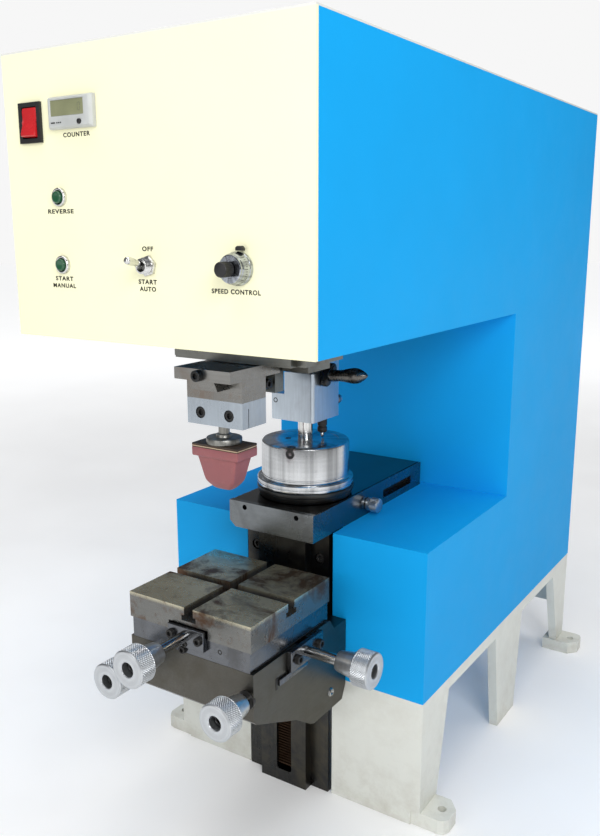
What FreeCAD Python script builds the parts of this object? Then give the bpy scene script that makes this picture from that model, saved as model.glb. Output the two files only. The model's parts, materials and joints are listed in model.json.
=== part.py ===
import FreeCAD, Part
import math, os

os.makedirs("parts", exist_ok=True)
V = FreeCAD.Vector

# ---------------------------------------------------------------------------
# Tabletop closed-cup pad printing machine. Millimetres, +Z up, -Y is the front.
# Everything below is laid out from the control panel's face (y = 0) and then
# moved so that the row's origin is the centre of the four foot holes, at the
# floor.
# ---------------------------------------------------------------------------
hole_span_x = 330.0     # foot holes, across
hole_span_y = 432.0     # foot holes, front to back
foot_y = 428.0          # foot-hole centre behind the panel's face
foot_hole_r = 4.5

half_w = 150.0          # housing half width
sheet = 2.0             # housing sheet
head_front = 0.0        # panel face
head_bottom = 486.0
top_z = 712.0
back_y = 659.0
deck_z = 285.0
lower_front = 192.0
recess_y = 396.0
base_top = 133.0

col_x = -3.0            # column, knee and table centre line
rail_half = 28.0
flange_half = 49.0
flange_y = 191.0
rail_y = 180.7

table_half = 68.0
table_y0, table_y1 = 36.0, 160.0
slot_w = 10.0
notch_l, notch_r = 53.5, 49.8      # opening in the lower front for the column
knob_z, knob_face = 186.0, -6.0   # height and clamp knobs on the knee
rack_x = -2.0           # slot and rack centre in the column
pad_x = -4.2            # pad spindle centre
cup_y = 220.0
pad_y = 94.0
rod_x, rod_z, rod_r = 52.0, 620.0, 10.0
screw_x = -27.0


def box(x0, x1, y0, y1, z0, z1):
    return Part.makeBox(x1 - x0, y1 - y0, z1 - z0, V(x0, y0, z0))


def cyl(r, h, p, d):
    return Part.makeCylinder(r, h, V(*p), V(*d))


def cone(r0, r1, h, p, d):
    return Part.makeCone(r0, r1, h, V(*p), V(*d))


def poly_x(pts, x0, x1):
    """profile in (y, z), pushed along X"""
    w = Part.makePolygon([V(x0, y, z) for y, z in pts] + [V(x0, pts[0][0], pts[0][1])])
    return Part.Face(w).extrude(V(x1 - x0, 0, 0))


def poly_y(pts, y0, y1):
    """profile in (x, z), pushed along Y"""
    w = Part.makePolygon([V(x, y0, z) for x, z in pts] + [V(pts[0][0], y0, pts[0][1])])
    return Part.Face(w).extrude(V(0, y1 - y0, 0))


def poly_z(pts, z0, z1):
    """profile in (x, y), pushed along Z"""
    w = Part.makePolygon([V(x, y, z0) for x, y in pts] + [V(pts[0][0], pts[0][1], z0)])
    return Part.Face(w).extrude(V(0, 0, z1 - z0))


def fuse(*s):
    out = s[0]
    for t in s[1:]:
        out = out.fuse(t)
    return out.removeSplitter()


def cut(a, *s):
    for t in s:
        a = a.cut(t)
    return a


def put(name, *shapes):
    out = []
    for s in shapes:
        for q in (s.Solids or []):
            out.append(q)
    assert out, name
    for q in out:
        assert q.isValid() and q.Volume > 0, name
    c = out[0] if len(out) == 1 else Part.makeCompound(out)
    c.translate(V(0, -foot_y, 0))
    c.exportStep("parts/%s.step" % name)
    print("%-20s solids %2d volume %.0f" % (name, len(out), sum(q.Volume for q in out)))


def mirror(s):
    return s.mirror(V(0, 0, 0), V(1, 0, 0))


# ---------------------------------------------------------------- base stand
def lug(y0, front):
    y1 = y0 + 36.0
    if front:
        pts = [(132, y0), (168, y0), (174, y0 + 2), (177, y0 + 8), (177, y0 + 24), (167, y1), (132, y1)]
    else:
        pts = [(132, y0), (167, y0), (177, y0 + 12), (177, y0 + 28), (174, y0 + 34), (168, y1), (132, y1)]
    p = poly_z(pts, 0, 15)
    return cut(p, cyl(foot_hole_r, 17, (hole_span_x / 2, y0 + 18.0, -1), (0, 0, 1)))


lug_f0 = foot_y - hole_span_y / 2 - 18.0
lug_r0 = foot_y + hole_span_y / 2 - 18.0
lugs = [lug(lug_f0, True), lug(lug_r0, False)]
lugs += [mirror(s) for s in lugs]
put("foot_lugs", *lugs)

side = [(192, 15), (231, 15), (254, 121), (384, 120), (404, 0), (458, 0), (472, 120),
        (595, 120), (629, 15), (657, 15), (657, base_top), (192, base_top)]
sp = poly_x(side, 140, 150)
sp = cut(sp, box(139, 151, 191, 194, 0, 15))
put("base_side_plates", sp, mirror(sp))
ap = cut(box(notch_r, 140, 192, 200, 0, base_top), lugs[0])
ap_l = cut(box(-140, -notch_l, 192, 200, 0, base_top), lugs[2])
rear_apron = box(-140, 140, 649, 657, 62, base_top)
put("base_aprons", ap, ap_l, rear_apron)

# ------------------------------------------------------------------- housing
prof = [(3, head_bottom), (recess_y, head_bottom), (recess_y, deck_z), (lower_front, deck_z),
        (lower_front, base_top), (back_y, base_top), (back_y, top_z - 1.5), (3, top_z - 1.5)]
spn = poly_x(prof, half_w - sheet, half_w)
put("side_panels", spn, mirror(spn))
put("top_cover", box(-half_w, half_w, 0, back_y, top_z - 1.5, top_z))

rc = box(-148, 148, back_y - 2, back_y, base_top + 2, top_z - 1.5)
for bank_z in (250, 560):
    for bx in (-70, 70):
        for i in range(8):
            z = bank_z + i * 10
            rc = rc.cut(box(bx - 30, bx + 30, back_y - 4, back_y + 2, z, z + 4))
rc = rc.cut(box(-104, -76, back_y - 4, back_y + 2, 176, 204))
cover_screws = []
for sx in (-138, 138):
    for z in (150, 330, 520, 698):
        rc = rc.cut(cyl(2.25, 6, (sx, back_y - 3, z), (0, 1, 0)))
        cover_screws.append(fuse(cyl(3.9, 2.2, (sx, back_y, z), (0, 1, 0)),
                                 cyl(2.1, 8, (sx, back_y - 8, z), (0, 1, 0))))
put("rear_cover", rc)
inlet = fuse(box(-115, -65, back_y, back_y + 3, 175, 205), box(-103.8, -76.2, back_y - 24, back_y, 176.2, 203.8))
inlet = cut(inlet, box(-102, -78, back_y - 16, back_y + 4, 181, 199))
for px, pz in ((-97, 190), (-90, 187), (-83, 190)):
    inlet = inlet.fuse(box(px - 1, px + 1, back_y - 16.5, back_y - 2, pz - 2, pz + 2))
for px in (-110, -70):
    inlet = inlet.cut(cyl(1.8, 5, (px, back_y - 1, 190), (0, 1, 0)))
put("power_inlet", inlet.removeSplitter())

liner = fuse(box(-148, 148, 3, 398, head_bottom, head_bottom + sheet),
             box(-148, 148, recess_y, recess_y + sheet, deck_z - sheet, head_bottom + sheet),
             box(-148, 148, lower_front, recess_y + sheet, deck_z - sheet, deck_z),
             box(-148, 148, lower_front, lower_front + sheet, base_top, deck_z))
liner = cut(liner, box(-78, 78, 46, 388, 480, 492), box(-notch_l, notch_r, 190, 212, 130, 290))
put("recess_liner", liner)
put("bottom_tray", cut(box(-148, 148, 194, 657, base_top, base_top + 2), box(-notch_l, notch_r, 190, 212, 130, 140)))

# ------------------------------------------------------------- control panel
cnt_x, cnt_z = -70.0, 662.0
rk_x, rk_z = -118.5, 657.0
rev = (-90.5, 599.0)
sta = (-91.0, 546.0)
tg_x, tg_z = 1.5, 547.0
dl_x, dl_z = 87.0, 547.0
panel = box(-half_w, half_w, 0, 3, head_bottom, top_z - 1.5)
panel = cut(panel, box(cnt_x - 22.4, cnt_x + 22.4, -1, 4, cnt_z - 11.2, cnt_z + 11.2),
            box(rk_x - 10.7, rk_x + 10.7, -1, 4, rk_z - 13.9, rk_z + 13.9),
            cyl(6.1, 5, (rev[0], -1, rev[1]), (0, 1, 0)), cyl(6.1, 5, (sta[0], -1, sta[1]), (0, 1, 0)),
            cyl(6.1, 5, (tg_x, -1, tg_z), (0, 1, 0)), cyl(4.9, 5, (dl_x, -1, dl_z), (0, 1, 0)))
put("control_panel", panel)

case = fuse(box(cnt_x - 24, cnt_x + 24, -6, 0, cnt_z - 12, cnt_z + 12),
            box(cnt_x - 22.2, cnt_x + 22.2, 0, 42, cnt_z - 11, cnt_z + 11))
case = cut(case, box(-90, -54, -7, -4.6, 659.4, 671.2), cyl(2.35, 6, (-58.0, -7, 654.2), (0, 1, 0)))
put("counter_case", case)
put("counter_reset", cyl(2.0, 3.4, (-58.0, -7.4, 654.2), (0, 1, 0)))

bez = fuse(box(rk_x - 12.5, rk_x + 12.5, -2.5, 0, rk_z - 15.5, rk_z + 15.5),
           box(rk_x - 10.5, rk_x + 10.5, 0, 22, rk_z - 13.7, rk_z + 13.7))
bez = cut(bez, box(rk_x - 8.6, rk_x + 8.6, -4, 12, rk_z - 12.1, rk_z + 12.1))
put("rocker_bezel", bez)
kp = [(-5.0, -11.2), (-3.0, 0.0), (-5.0, 11.2), (3.0, 11.2), (8.0, 3.0), (8.0, -3.0), (3.0, -11.2)]
t = math.radians(-8.0)
kp = [(y * math.cos(t) - z * math.sin(t), y * math.sin(t) + z * math.cos(t)) for y, z in kp]
put("rocker_key", fuse(poly_x([(y + 1.0, z + rk_z) for y, z in kp], rk_x - 8.2, rk_x + 8.2), cyl(1.5, 17.0, (rk_x - 8.5, 1.0, rk_z), (1, 0, 0))))

collars = []
for cx, cz in (rev, sta):
    c = fuse(cone(6.9, 7.5, 3.2, (cx, -3.2, cz), (0, 1, 0)), cyl(6.0, 25, (cx, 0, cz), (0, 1, 0)))
    nut = cut(cyl(8.5, 3, (cx, 3, cz), (0, 1, 0)), cyl(6.0, 5, (cx, 2, cz), (0, 1, 0)))
    collars.append(cut(fuse(c, nut), cyl(5.1, 11.2, (cx, -3.3, cz), (0, 1, 0))))
put("button_collars", *collars)
for nm, (cx, cz) in (("reverse_button_cap", rev), ("start_button_cap", sta)):
    put(nm, fuse(cyl(4.8, 8.5, (cx, -4.3, cz), (0, 1, 0)), cone(4.0, 4.8, 0.8, (cx, -5.1, cz), (0, 1, 0))))

hexa = [(tg_x + 8.2 * math.cos(math.radians(60 * i + 15)), tg_z + 8.2 * math.sin(math.radians(60 * i + 15))) for i in range(6)]
tb = fuse(poly_y(hexa, -3.0, 0.0), cyl(5.8, 9.0, (tg_x, -9.0, tg_z), (0, 1, 0)), cyl(5.9, 24, (tg_x, 0, tg_z), (0, 1, 0)))
tb = cut(tb, cyl(3.6, 12, (tg_x, -9.5, tg_z), (0, 1, 0)), cone(4.6, 3.6, 2.0, (tg_x, -9.0, tg_z), (0, 1, 0)))
put("toggle_bushing", tb)
ta = math.radians(14.0)
td = (0, -math.cos(ta), math.sin(ta))
lev = fuse(Part.makeSphere(3.2, V(tg_x, -3.5, tg_z)), cone(1.6, 3.1, 18.5, (tg_x, -3.5, tg_z), td),
           Part.makeSphere(3.1, V(tg_x, -3.5 + td[1] * 18.5, tg_z + td[2] * 18.5)), cyl(0.9, 6.3, (tg_x - 3.15, -3.5, tg_z), (1, 0, 0)))
put("toggle_lever", lev)

db = fuse(cone(9.4, 12.0, 12.0, (dl_x, -12.0, dl_z), (0, 1, 0)), cyl(4.8, 22, (dl_x, 0, dl_z), (0, 1, 0)))
db = cut(db, cyl(3.05, 28, (dl_x, -12.5, dl_z), (0, 1, 0)))
put("dial_body", db)
dk = fuse(cyl(5.4, 9.4, (dl_x, -21.9, dl_z), (0, 1, 0)), cone(4.9, 5.4, 0.8, (dl_x, -22.7, dl_z), (0, 1, 0)),
          cyl(3.0, 27.5, (dl_x, -12.5, dl_z), (0, 1, 0)))
put("dial_knob", dk)
dlk = box(dl_x + 0.5, dl_x + 6.8, -6.0, -1.6, dl_z + 12.4, dl_z + 15.8)
put("dial_lock_lever", dlk)

# ------------------------------------------------- internal frame and drive
fp = [(14, 596), (404, 596), (404, 135), (640, 135), (640, 704), (14, 704)]
frames = [poly_x(fp, 86, 94)]
frames.append(cut(mirror(frames[0]), box(-95, -85, 13, 46, 644, 680), box(-95, -85, 13, 29, 595, 609),
                  box(-95, -85, 628, 641, 170, 210)))
frames.append(cut(box(-94, 94, 210.0, 222, 135, 281),
                  *[cyl(3.5, 14, (col_x + sx * 38.0, 209, z), (0, 1, 0)) for sx in (-1, 1) for z in (170, 256)]))
frames.append(box(60, 94, 222, 404, 135, 148))
frames.append(box(-94, -60, 222, 404, 135, 148))
for y0, y1 in ((14, 26), (392, 404)):
    bar = box(-86, 86, y0, y1, 600, 645)
    bar = cut(bar, *[cyl(rod_r, y1 - y0 + 2, (sx * rod_x, y0 - 1, rod_z), (0, 1, 0)) for sx in (-1, 1)])
    bar = bar.cut(box(-87, -82.5, 13, 27, 599, 609))
    bar = bar.cut(cyl(7.3 if y0 > 100 else 6.05, y1 - y0 + 2, (screw_x, y0 - 1, rod_z), (0, 1, 0)))
    frames.append(bar)
frames.append(box(-86, 86, 436, 600, rod_z - 44, rod_z - 34))
put("internal_frame", *frames)
put("guide_rods", *[cyl(rod_r, 394, (sx * rod_x, 12, rod_z), (0, 1, 0)) for sx in (-1, 1)])
cs = fuse(cyl(7.0, 386.0, (screw_x, 28, rod_z), (0, 1, 0)), cyl(6.0, 14.0, (screw_x, 14, rod_z), (0, 1, 0)),
          cyl(12.0, 22.0, (screw_x, 410, rod_z), (0, 1, 0)), cyl(4.0, 20.0, (screw_x, 432, rod_z), (0, 1, 0)))
put("carriage_screw", cs)
cm = fuse(box(screw_x - 28, screw_x + 28, 436, 480, rod_z - 28, rod_z + 28), cyl(26, 100, (screw_x, 480, rod_z), (0, 1, 0)),
          box(screw_x - 28, screw_x + 28, 436, 480, rod_z - 34, rod_z - 28))
cm = cm.cut(cyl(4.06, 20, (screw_x, 435, rod_z), (0, 1, 0)))
put("carriage_motor", cm)
ctl = fuse(box(-70, 70, 470, 630, 300, 345), *[box(-60, 60, 478 + 12 * i, 482 + 12 * i, 345, 357) for i in range(12)])
put("drive_controller", fuse(ctl, box(-86, 86, 470, 630, 296, 300)))

# ------------------------------------------------------------------ carriage
cb = box(-72, 72, 62, 252, 600, 640)
cb = cut(cb, *[cyl(rod_r + 0.06, 200, (sx * rod_x, 60, rod_z), (0, 1, 0)) for sx in (-1, 1)])
cb = cut(cb, cyl(7.06, 200, (screw_x, 60, rod_z), (0, 1, 0)), box(-12.4, 12.4, 103.6, 128.4, 590, 650))
webs = [box(62, 72, 110, 168, 472, 600), box(-72, -62, 110, 250, 472, 600)]
put("carriage_block", fuse(cb, *webs))
cp = box(-72, 72, 100, 256, 460.4, 472)
cp = cut(cp, box(-73, -63, 99, 109, 460, 473), box(63, 73, 99, 109, 460, 473),
         box(-12.4, 12.4, 103.6, 128.4, 455, 475), cyl(4.4, 20, (24, 116, 455), (0, 0, 1)), box(24, 73, 170, 257, 460, 473))
put("carriage_plate", cp)
mp = cut(box(-28, 58.5, 134, 256, 451.0, 460.4), box(24, 60, 170, 257, 450, 461))
lug_b = cut(box(-14, 12, 136.5, 164, 426.5, 451.0), box(-2, 13, 135, 150, 425, 446))
put("cup_mount_plate", fuse(mp, lug_b))
lv_y, lv_z = 224.0, 440.0
hb = fuse(box(-24, 24, 196, 244, 390, 416), box(-9, 24, 196, 244, 416, 438), box(-9, 24, 206, 244, 438, 451.0))
hb = hb.makeFillet(3.0, [e for e in hb.Edges if abs(e.BoundBox.XMin - 24) < 1e-6 and abs(e.BoundBox.XMax - 24) < 1e-6
                         and abs(e.BoundBox.YMin - 196) < 1e-6 and abs(e.BoundBox.YMax - 196) < 1e-6])
hb = cut(hb, cyl(7.5, 22, (0, cup_y, 389), (0, 0, 1)), cyl(3.06, 9, (17, lv_y, lv_z), (1, 0, 0)))
hb = fuse(hb, cyl(4.4, 8.0, (19.4, 244, 405.4), (0, 1, 0)))
put("cup_holder_block", hb)
# eccentric clamp lever: arm, pivot pin and ball-ended handle
arm = fuse(cyl(6.0, 6.2, (24.5, lv_y, lv_z), (1, 0, 0)), cyl(4.6, 6.2, (24.5, 213, 429), (1, 0, 0)),
           poly_x([(lv_y + 4.2, lv_z - 4.2), (lv_y - 4.2, lv_z + 4.2), (213 - 3.2, 429 + 3.2), (213 + 3.2, 429 - 3.2)], 24.5, 30.7),
           cyl(6.0, 6.2, (24.5, 217, 434.8), (1, 0, 0)), cyl(3.0, 7, (17.6, lv_y, lv_z), (1, 0, 0)))
hp = [(0, 5.8), (4, 5.9), (10, 5.5), (15, 5.8), (21, 6.9), (26, 7.6), (30, 7.2), (35, 5.2), (38.5, 3.0), (41.0, 0.0)]
hw = Part.makePolygon([V(30.7, 217, 434.8)] + [V(30.7 + a, 217 + r, 434.8) for a, r in hp] + [V(30.7, 217, 434.8)])
handle = Part.Face(hw).revolve(V(0, 217, 434.8), V(1, 0, 0), 360)
handle.rotate(V(30.7, 217, 434.8), V(0, 1, 0), -4.7)
handle = handle.cut(box(20, 30.7, 200, 235, 420, 450))
put("clamp_lever", arm, handle)

put("cup_shaft", cyl(7.5, 50, (0, cup_y, 361), (0, 0, 1)))
ic = fuse(cyl(44.2, 37, (0, cup_y, 331), (0, 0, 1)), cyl(48.5, 8, (0, cup_y, 323), (0, 0, 1)))
ic = cut(ic, cyl(39.0, 32, (0, cup_y, 322), (0, 0, 1)), cyl(7.56, 9, (0, cup_y, 360.4), (0, 0, 1)))
a0 = math.radians(-77.0)
sx, sy = 44.0 * math.cos(a0), cup_y + 44.0 * math.sin(a0)
ic = ic.cut(cyl(3.6, 12, (sx, sy, 362), (0, 0, 1)))
put("ink_cup", ic)
ring = cut(cone(47.0, 49.0, 10.7, (0, cup_y, 312.3), (0, 0, 1)), cyl(39.0, 14, (0, cup_y, 311), (0, 0, 1)))
put("doctor_ring", ring)

act = cut(box(13.4, 34.6, 105, 127, 472, 600), cyl(4.1, 122, (24, 116, 471), (0, 0, 1)))
put("ram_actuator", act)
put("ram_bar", box(-12, 12, 104, 128, 459.7, 702), cyl(4.0, 131, (24, 116, 459.7), (0, 0, 1)))

# ----------------------------------------------------------------- pad stack
dove = poly_y([(-13.0, 449.5), (13.0, 449.5), (16.5, 442.0), (-16.5, 442.0)], 60, 112)
put("pad_upper_plate", fuse(box(-30, 30, 60, 132, 449.5, 459.7), dove))
pb = cut(box(-30, 30, 76, 110, 431, 449.45), poly_y([(-13.08, 450.5), (13.08, 450.5), (16.6, 441.95), (-16.6, 441.95)], 70, 115))
put("pad_block", pb)
pcb = cut(box(-30, 30, 76, 110, 408, 430.95), box(-31, 31, 84.2, 85.0, 407, 425),
          cyl(5.05, 15, (pad_x, pad_y, 407), (0, 0, 1)))
heads = []
for sx in (-15.5, 15.5):
    pcb = cut(pcb, cyl(5.2, 5.0, (sx, 75.9, 418.6), (0, 1, 0)), cyl(3.05, 26, (sx, 75.9, 418.6), (0, 1, 0)))
    h = fuse(cyl(5.0, 4.6, (sx, 76.3, 418.6), (0, 1, 0)), cyl(3.0, 20, (sx, 80.9, 418.6), (0, 1, 0)))
    hexs = [(sx + 2.9 * math.cos(math.radians(60 * i)), 418.6 + 2.9 * math.sin(math.radians(60 * i))) for i in range(6)]
    heads.append(h.cut(poly_y(hexs, 76.0, 79.3)))
h = fuse(cyl(5.0, 5.5, (-3, 54.5, 454.3), (0, 1, 0)))
hexs = [(-3 + 2.9 * math.cos(math.radians(60 * i)), 454.3 + 2.9 * math.sin(math.radians(60 * i))) for i in range(6)]
heads.append(h.cut(poly_y(hexs, 54.0, 57.3)))
put("pad_clamp_block", pcb)
put("pad_cap_screws", *heads)
put("pad_stud", fuse(cyl(5.0, 31, (pad_x, pad_y, 389.2), (0, 0, 1)), cone(15.0, 16.0, 1.5, (pad_x, pad_y, 389.2), (0, 0, 1)),
                     cyl(16.0, 3.2, (pad_x, pad_y, 390.7), (0, 0, 1)), cone(16.0, 15.0, 1.0, (pad_x, pad_y, 393.9), (0, 0, 1))))
put("pad_backing", box(pad_x - 25.2, pad_x + 25.2, pad_y - 14.7, pad_y + 14.7, 385.6, 389.2))


def rect_wire(hx, hy, z):
    return Part.makePolygon([V(pad_x + u * hx, pad_y + v * hy, z) for u, v in ((-1, -1), (1, -1), (1, 1), (-1, 1), (-1, -1))])


body = Part.makeLoft([rect_wire(21.3, 12.4, 377.7), rect_wire(15.8, 9.6, 355.5)], True, True)
roof = Part.makeLoft([rect_wire(15.8, 9.6, 355.5), rect_wire(8.4, 4.0, 346.6)], True, True)
put("silicone_pad", fuse(box(pad_x - 25.4, pad_x + 25.4, pad_y - 14.9, pad_y + 14.9, 377.7, 385.6), body, roof))

# ------------------------------------------------------------ cliche holder
hold = box(-49, 49, 157, 388, deck_z, 302)
hold = fuse(hold, box(-49, 49, 157, 163, 302, 312), box(-49, -47.2, 163, 388, 302, 311.4), box(47.2, 49, 163, 388, 302, 311.4))
hold = cut(hold, poly_y([(-50, 284), (-41, 284), (-50, 292)], 150, 192),
           cyl(2.6, 8, (-30.5, 156, 306.8), (0, 1, 0)), cyl(2.6, 8, (30.0, 156, 306.8), (0, 1, 0)),
           box(39, 50, 297, 363, 292.5, 301.5), cyl(3.06, 14, (36, 262, 296), (1, 0, 0)))
put("holder_base", hold)
put("cliche_plate", box(-47, 47, 163.2, 386, 302, 312))
ths = fuse(cyl(3.0, 16, (36.4, 262, 296), (1, 0, 0)), cyl(7.6, 10, (52.8, 262, 296), (1, 0, 0)), cone(7.6, 6.8, 1.0, (62.8, 262, 296), (1, 0, 0)))
ths = fuse(ths, cyl(6.6, 3.4, (49.4, 262, 296), (1, 0, 0)))
put("holder_thumb_screw", ths)

# --------------------------------------------------------- column and rack
col = fuse(box(col_x - flange_half, col_x + flange_half, flange_y, 210, 0, deck_z),
           box(col_x - rail_half, col_x + rail_half, rail_y, flange_y, 0, deck_z))
slot = fuse(box(rack_x - 9, rack_x + 9, rail_y - 1, 197, 16.5, 233.0), box(rack_x - 6, rack_x + 6, rail_y - 1, 197, 13.5, 236.0),
            *[cyl(3.0, 197 - rail_y + 1, (rack_x + sx * 6.0, rail_y - 1, z), (0, 1, 0)) for sx in (-1, 1) for z in (16.5, 233.0)])
col = col.cut(slot)
col_screws = []
for s in (-1, 1):
    for z in (170, 256):
        col = cut(col, cyl(3.5, 20, (col_x + s * 38.0, 190, z), (0, 1, 0)), cyl(5.6, 7, (col_x + s * 38.0, 190.5, z), (0, 1, 0)))
        col_screws.append(cut(fuse(cyl(5.0, 5.5, (col_x + s * 38.0, 192.0, z), (0, 1, 0)), cyl(3.0, 24, (col_x + s * 38.0, 197.5, z), (0, 1, 0))),
                              cyl(2.6, 3.4, (col_x + s * 38.0, 191.9, z), (0, 1, 0))))
put("column_plate", col)
put("fixing_screws", *(cover_screws + col_screws))
# rack, module 1, teeth facing the front
pitch = math.pi
pin_y, pin_z, pin_r = 177.25, knob_z, 6.0
line = pin_y + pin_r
pts = [(196.9, 16.0)]
n0 = int((272 - pin_z) / pitch)
z = pin_z
zs = []
k = -60
while True:
    zc = pin_z + (k + 0.5) * pitch
    if zc > 230:
        break
    if zc > 18.5:
        zs.append(zc)
    k += 1
pts = [(196.9, zs[0] - 3.0), (line + 1.3, zs[0] - 3.0)]
for zc in zs:
    pts += [(line + 1.3, zc - 1.05), (line - 0.85, zc - 0.30), (line - 0.85, zc + 0.30), (line + 1.3, zc + 1.05)]
pts += [(line + 1.3, zs[-1] + 3.0), (196.9, zs[-1] + 3.0)]
put("column_rack", poly_x(pts, rack_x - 8.5, rack_x + 8.5))

# ---------------------------------------------------------------------- knee
kn_l, kn_r = col_x - 69.0, col_x + 69.0
x3, x1, kz = 58.3, -62.3, knob_z
kprof = [(37, 210.7), (37, 167), (41, 163), (102, 136), (126, 119.5), (132, 117), (184, 117), (190.4, 131), (190.4, 200), (168, 200), (160, 210.7)]
knee = poly_x(kprof, kn_l, kn_r)
knee = cut(knee, box(col_x - rail_half - 0.4, col_x + rail_half + 0.4, rail_y - 0.4, 192, 110, 205))
knee = cut(knee, cyl(5.06, 160, (x1, 36, kz), (0, 1, 0)), cyl(5.06, 132, (x3, 36, kz), (0, 1, 0)), cyl(2.9, 5, (x3, 167, kz), (0, 1, 0)),
           cyl(7.7, 15, (col_x - 7.5, pin_y, kz), (1, 0, 0)), cyl(3.06, 72, (col_x - 14, pin_y, kz), (1, 0, 0)),
           box(x3 - 6.0, x3 + 5.6, 171, 182, kz - 5.6, kz + 5.6), box(col_x - 7.5, col_x + 7.5, 176, 182, kz - 7.6, kz + 7.6),
           box(-26, 84, 104, 120, 194, 212), box(-30, 28, 106, 118, 194.0, 211),
           cyl(8.5, 3.0, (x1, 36, kz), (0, 1, 0)), cyl(8.5, 3.0, (x3, 36, kz), (0, 1, 0)))
put("knee", knee)


def knob(p, d, head=17.0, neck=19.0):
    """turned knob: knurled head with a bored face, a tapered neck behind it; p is the face centre, d points inwards"""
    d = V(*d)
    p = V(*p)
    q = lambda s: tuple(p + d * s)
    k = fuse(cone(15.4, 16.5, 1.2, q(0), tuple(d)), cyl(16.5, head - 2.4, q(1.2), tuple(d)), cone(16.5, 15.4, 1.2, q(head - 1.2), tuple(d)),
             cone(12.3, 9.2, neck, q(head), tuple(d)))
    return cut(k, cyl(6.2, 11.0, q(0), tuple(d)), cone(6.9, 6.2, 0.7, q(0), tuple(d)))


k3 = knob((x3, knob_face, kz), (0, 1, 0))
sh3 = fuse(cyl(5.0, 137.0, (x3, 30.0, kz), (0, 1, 0)), cyl(2.6, 7.0, (x3, 167.0, kz), (0, 1, 0)),
           cone(4.2, 2.0, 2.2, (x3, pin_y - 4.6, kz), (0, 1, 0)))
put("elevation_shaft", k3, sh3)
teeth = []
npin = 12
for i in range(npin):
    a = 2 * math.pi * i / npin
    c, s_ = math.cos(a), math.sin(a)
    tp = [(4.4, -0.95), (6.85, -0.30), (6.85, 0.30), (4.4, 0.95)]
    teeth.append(poly_x([(pin_y + u * c - v * s_, kz + u * s_ + v * c) for u, v in tp], col_x - 5, col_x + 5))
pin = fuse(cyl(4.7, 10, (col_x - 5, pin_y, kz), (1, 0, 0)), *teeth)
cross = fuse(pin, cyl(3.0, 69.6, (col_x - 12.6, pin_y, kz), (1, 0, 0)), cone(4.2, 2.0, 2.2, (x3 - 4.6, pin_y, kz), (1, 0, 0)))
put("cross_shaft", cross)
k1 = knob((x1, knob_face, kz), (0, 1, 0))
put("lock_screw", k1, cyl(5.0, 160.0, (x1, 30.0, kz), (0, 1, 0)))

# -------------------------------------------------------- saddle and X drive
xs_y, xs_z = 112.0, 202.0
sad = box(col_x - 66, col_x + 66, 37, table_y1, 211.0, 229.7)
sad = cut(sad, box(col_x - 7, col_x + 7, 36, 148, 221.6, 231))
nutx = cut(box(-8, 6, 106.4, 117.6, 195.6, 211.2), cyl(5.06, 30, (-12, xs_y, xs_z), (1, 0, 0)))
put("saddle", fuse(sad, nutx))
xp = cut(box(66.0, 71.0, 87, 140, 191, 210.5), cyl(5.06, 8, (65, xs_y, xs_z), (1, 0, 0)),
         cyl(3.1, 8, (65, 96, 200.8), (1, 0, 0)), cyl(3.1, 8, (65, 132, 200.8), (1, 0, 0)))
xbolts = [fuse(cyl(4.6, 4.2, (71.0, yy, 200.8), (1, 0, 0)), cyl(3.0, 5, (66.0, yy, 200.8), (1, 0, 0))) for yy in (96, 132)]
put("x_bearing_plate", xp, *xbolts)
put("x_screw", knob((140.5, xs_y, xs_z), (-1, 0, 0)), cyl(5.0, 125.5, (-21, xs_y, xs_z), (1, 0, 0)))

# ----------------------------------------------------------- table and Y drive
ys_z = 230.0
tab = box(col_x - table_half, col_x + table_half, table_y0, table_y1, 230.0, 254.0)
cx, cyy = col_x + 1.0, 96.0
tab = cut(tab, box(cx - slot_w / 2, cx + slot_w / 2, 30, 170, 246, 255), box(cx - 8, cx + 8, 30, 170, 241.5, 246.5),
          box(-90, 90, cyy - slot_w / 2, cyy + slot_w / 2, 246, 255), box(-90, 90, cyy - 8, cyy + 8, 241.5, 246.5),
          box(col_x - 22, col_x + 22, 30, 54, 229, 238.3), box(col_x - 7, col_x + 7, 50, 150, 229, 237.0))
nuty = cut(box(col_x - 6.6, col_x + 6.6, 98, 114, 222.2, 238.0), cyl(5.06, 40, (col_x, 90, ys_z), (0, 1, 0)))
put("table_top", fuse(tab, nuty))
yp = cut(box(col_x - 20, col_x + 20, 32, 37, 219, 237.4), cyl(5.06, 8, (col_x, 31, ys_z), (0, 1, 0)),
         *[cyl(2.6, 8, (col_x + s * 15.5, 31, 229.3), (0, 1, 0)) for s in (-1, 1)])
ybolts = [fuse(cyl(4.0, 4.0, (col_x + s * 15.5, 28.0, 229.3), (0, 1, 0)), cyl(2.5, 5, (col_x + s * 15.5, 32.0, 229.3), (0, 1, 0))) for s in (-1, 1)]
put("y_bearing_plate", yp, *ybolts)
put("y_screw", knob((col_x, -39.0, ys_z), (0, 1, 0)), cyl(5.0, 135, (col_x, -3.0, ys_z), (0, 1, 0)))
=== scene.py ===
import bpy
import bmesh
import json
import math
from mathutils import Vector, Matrix


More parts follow.
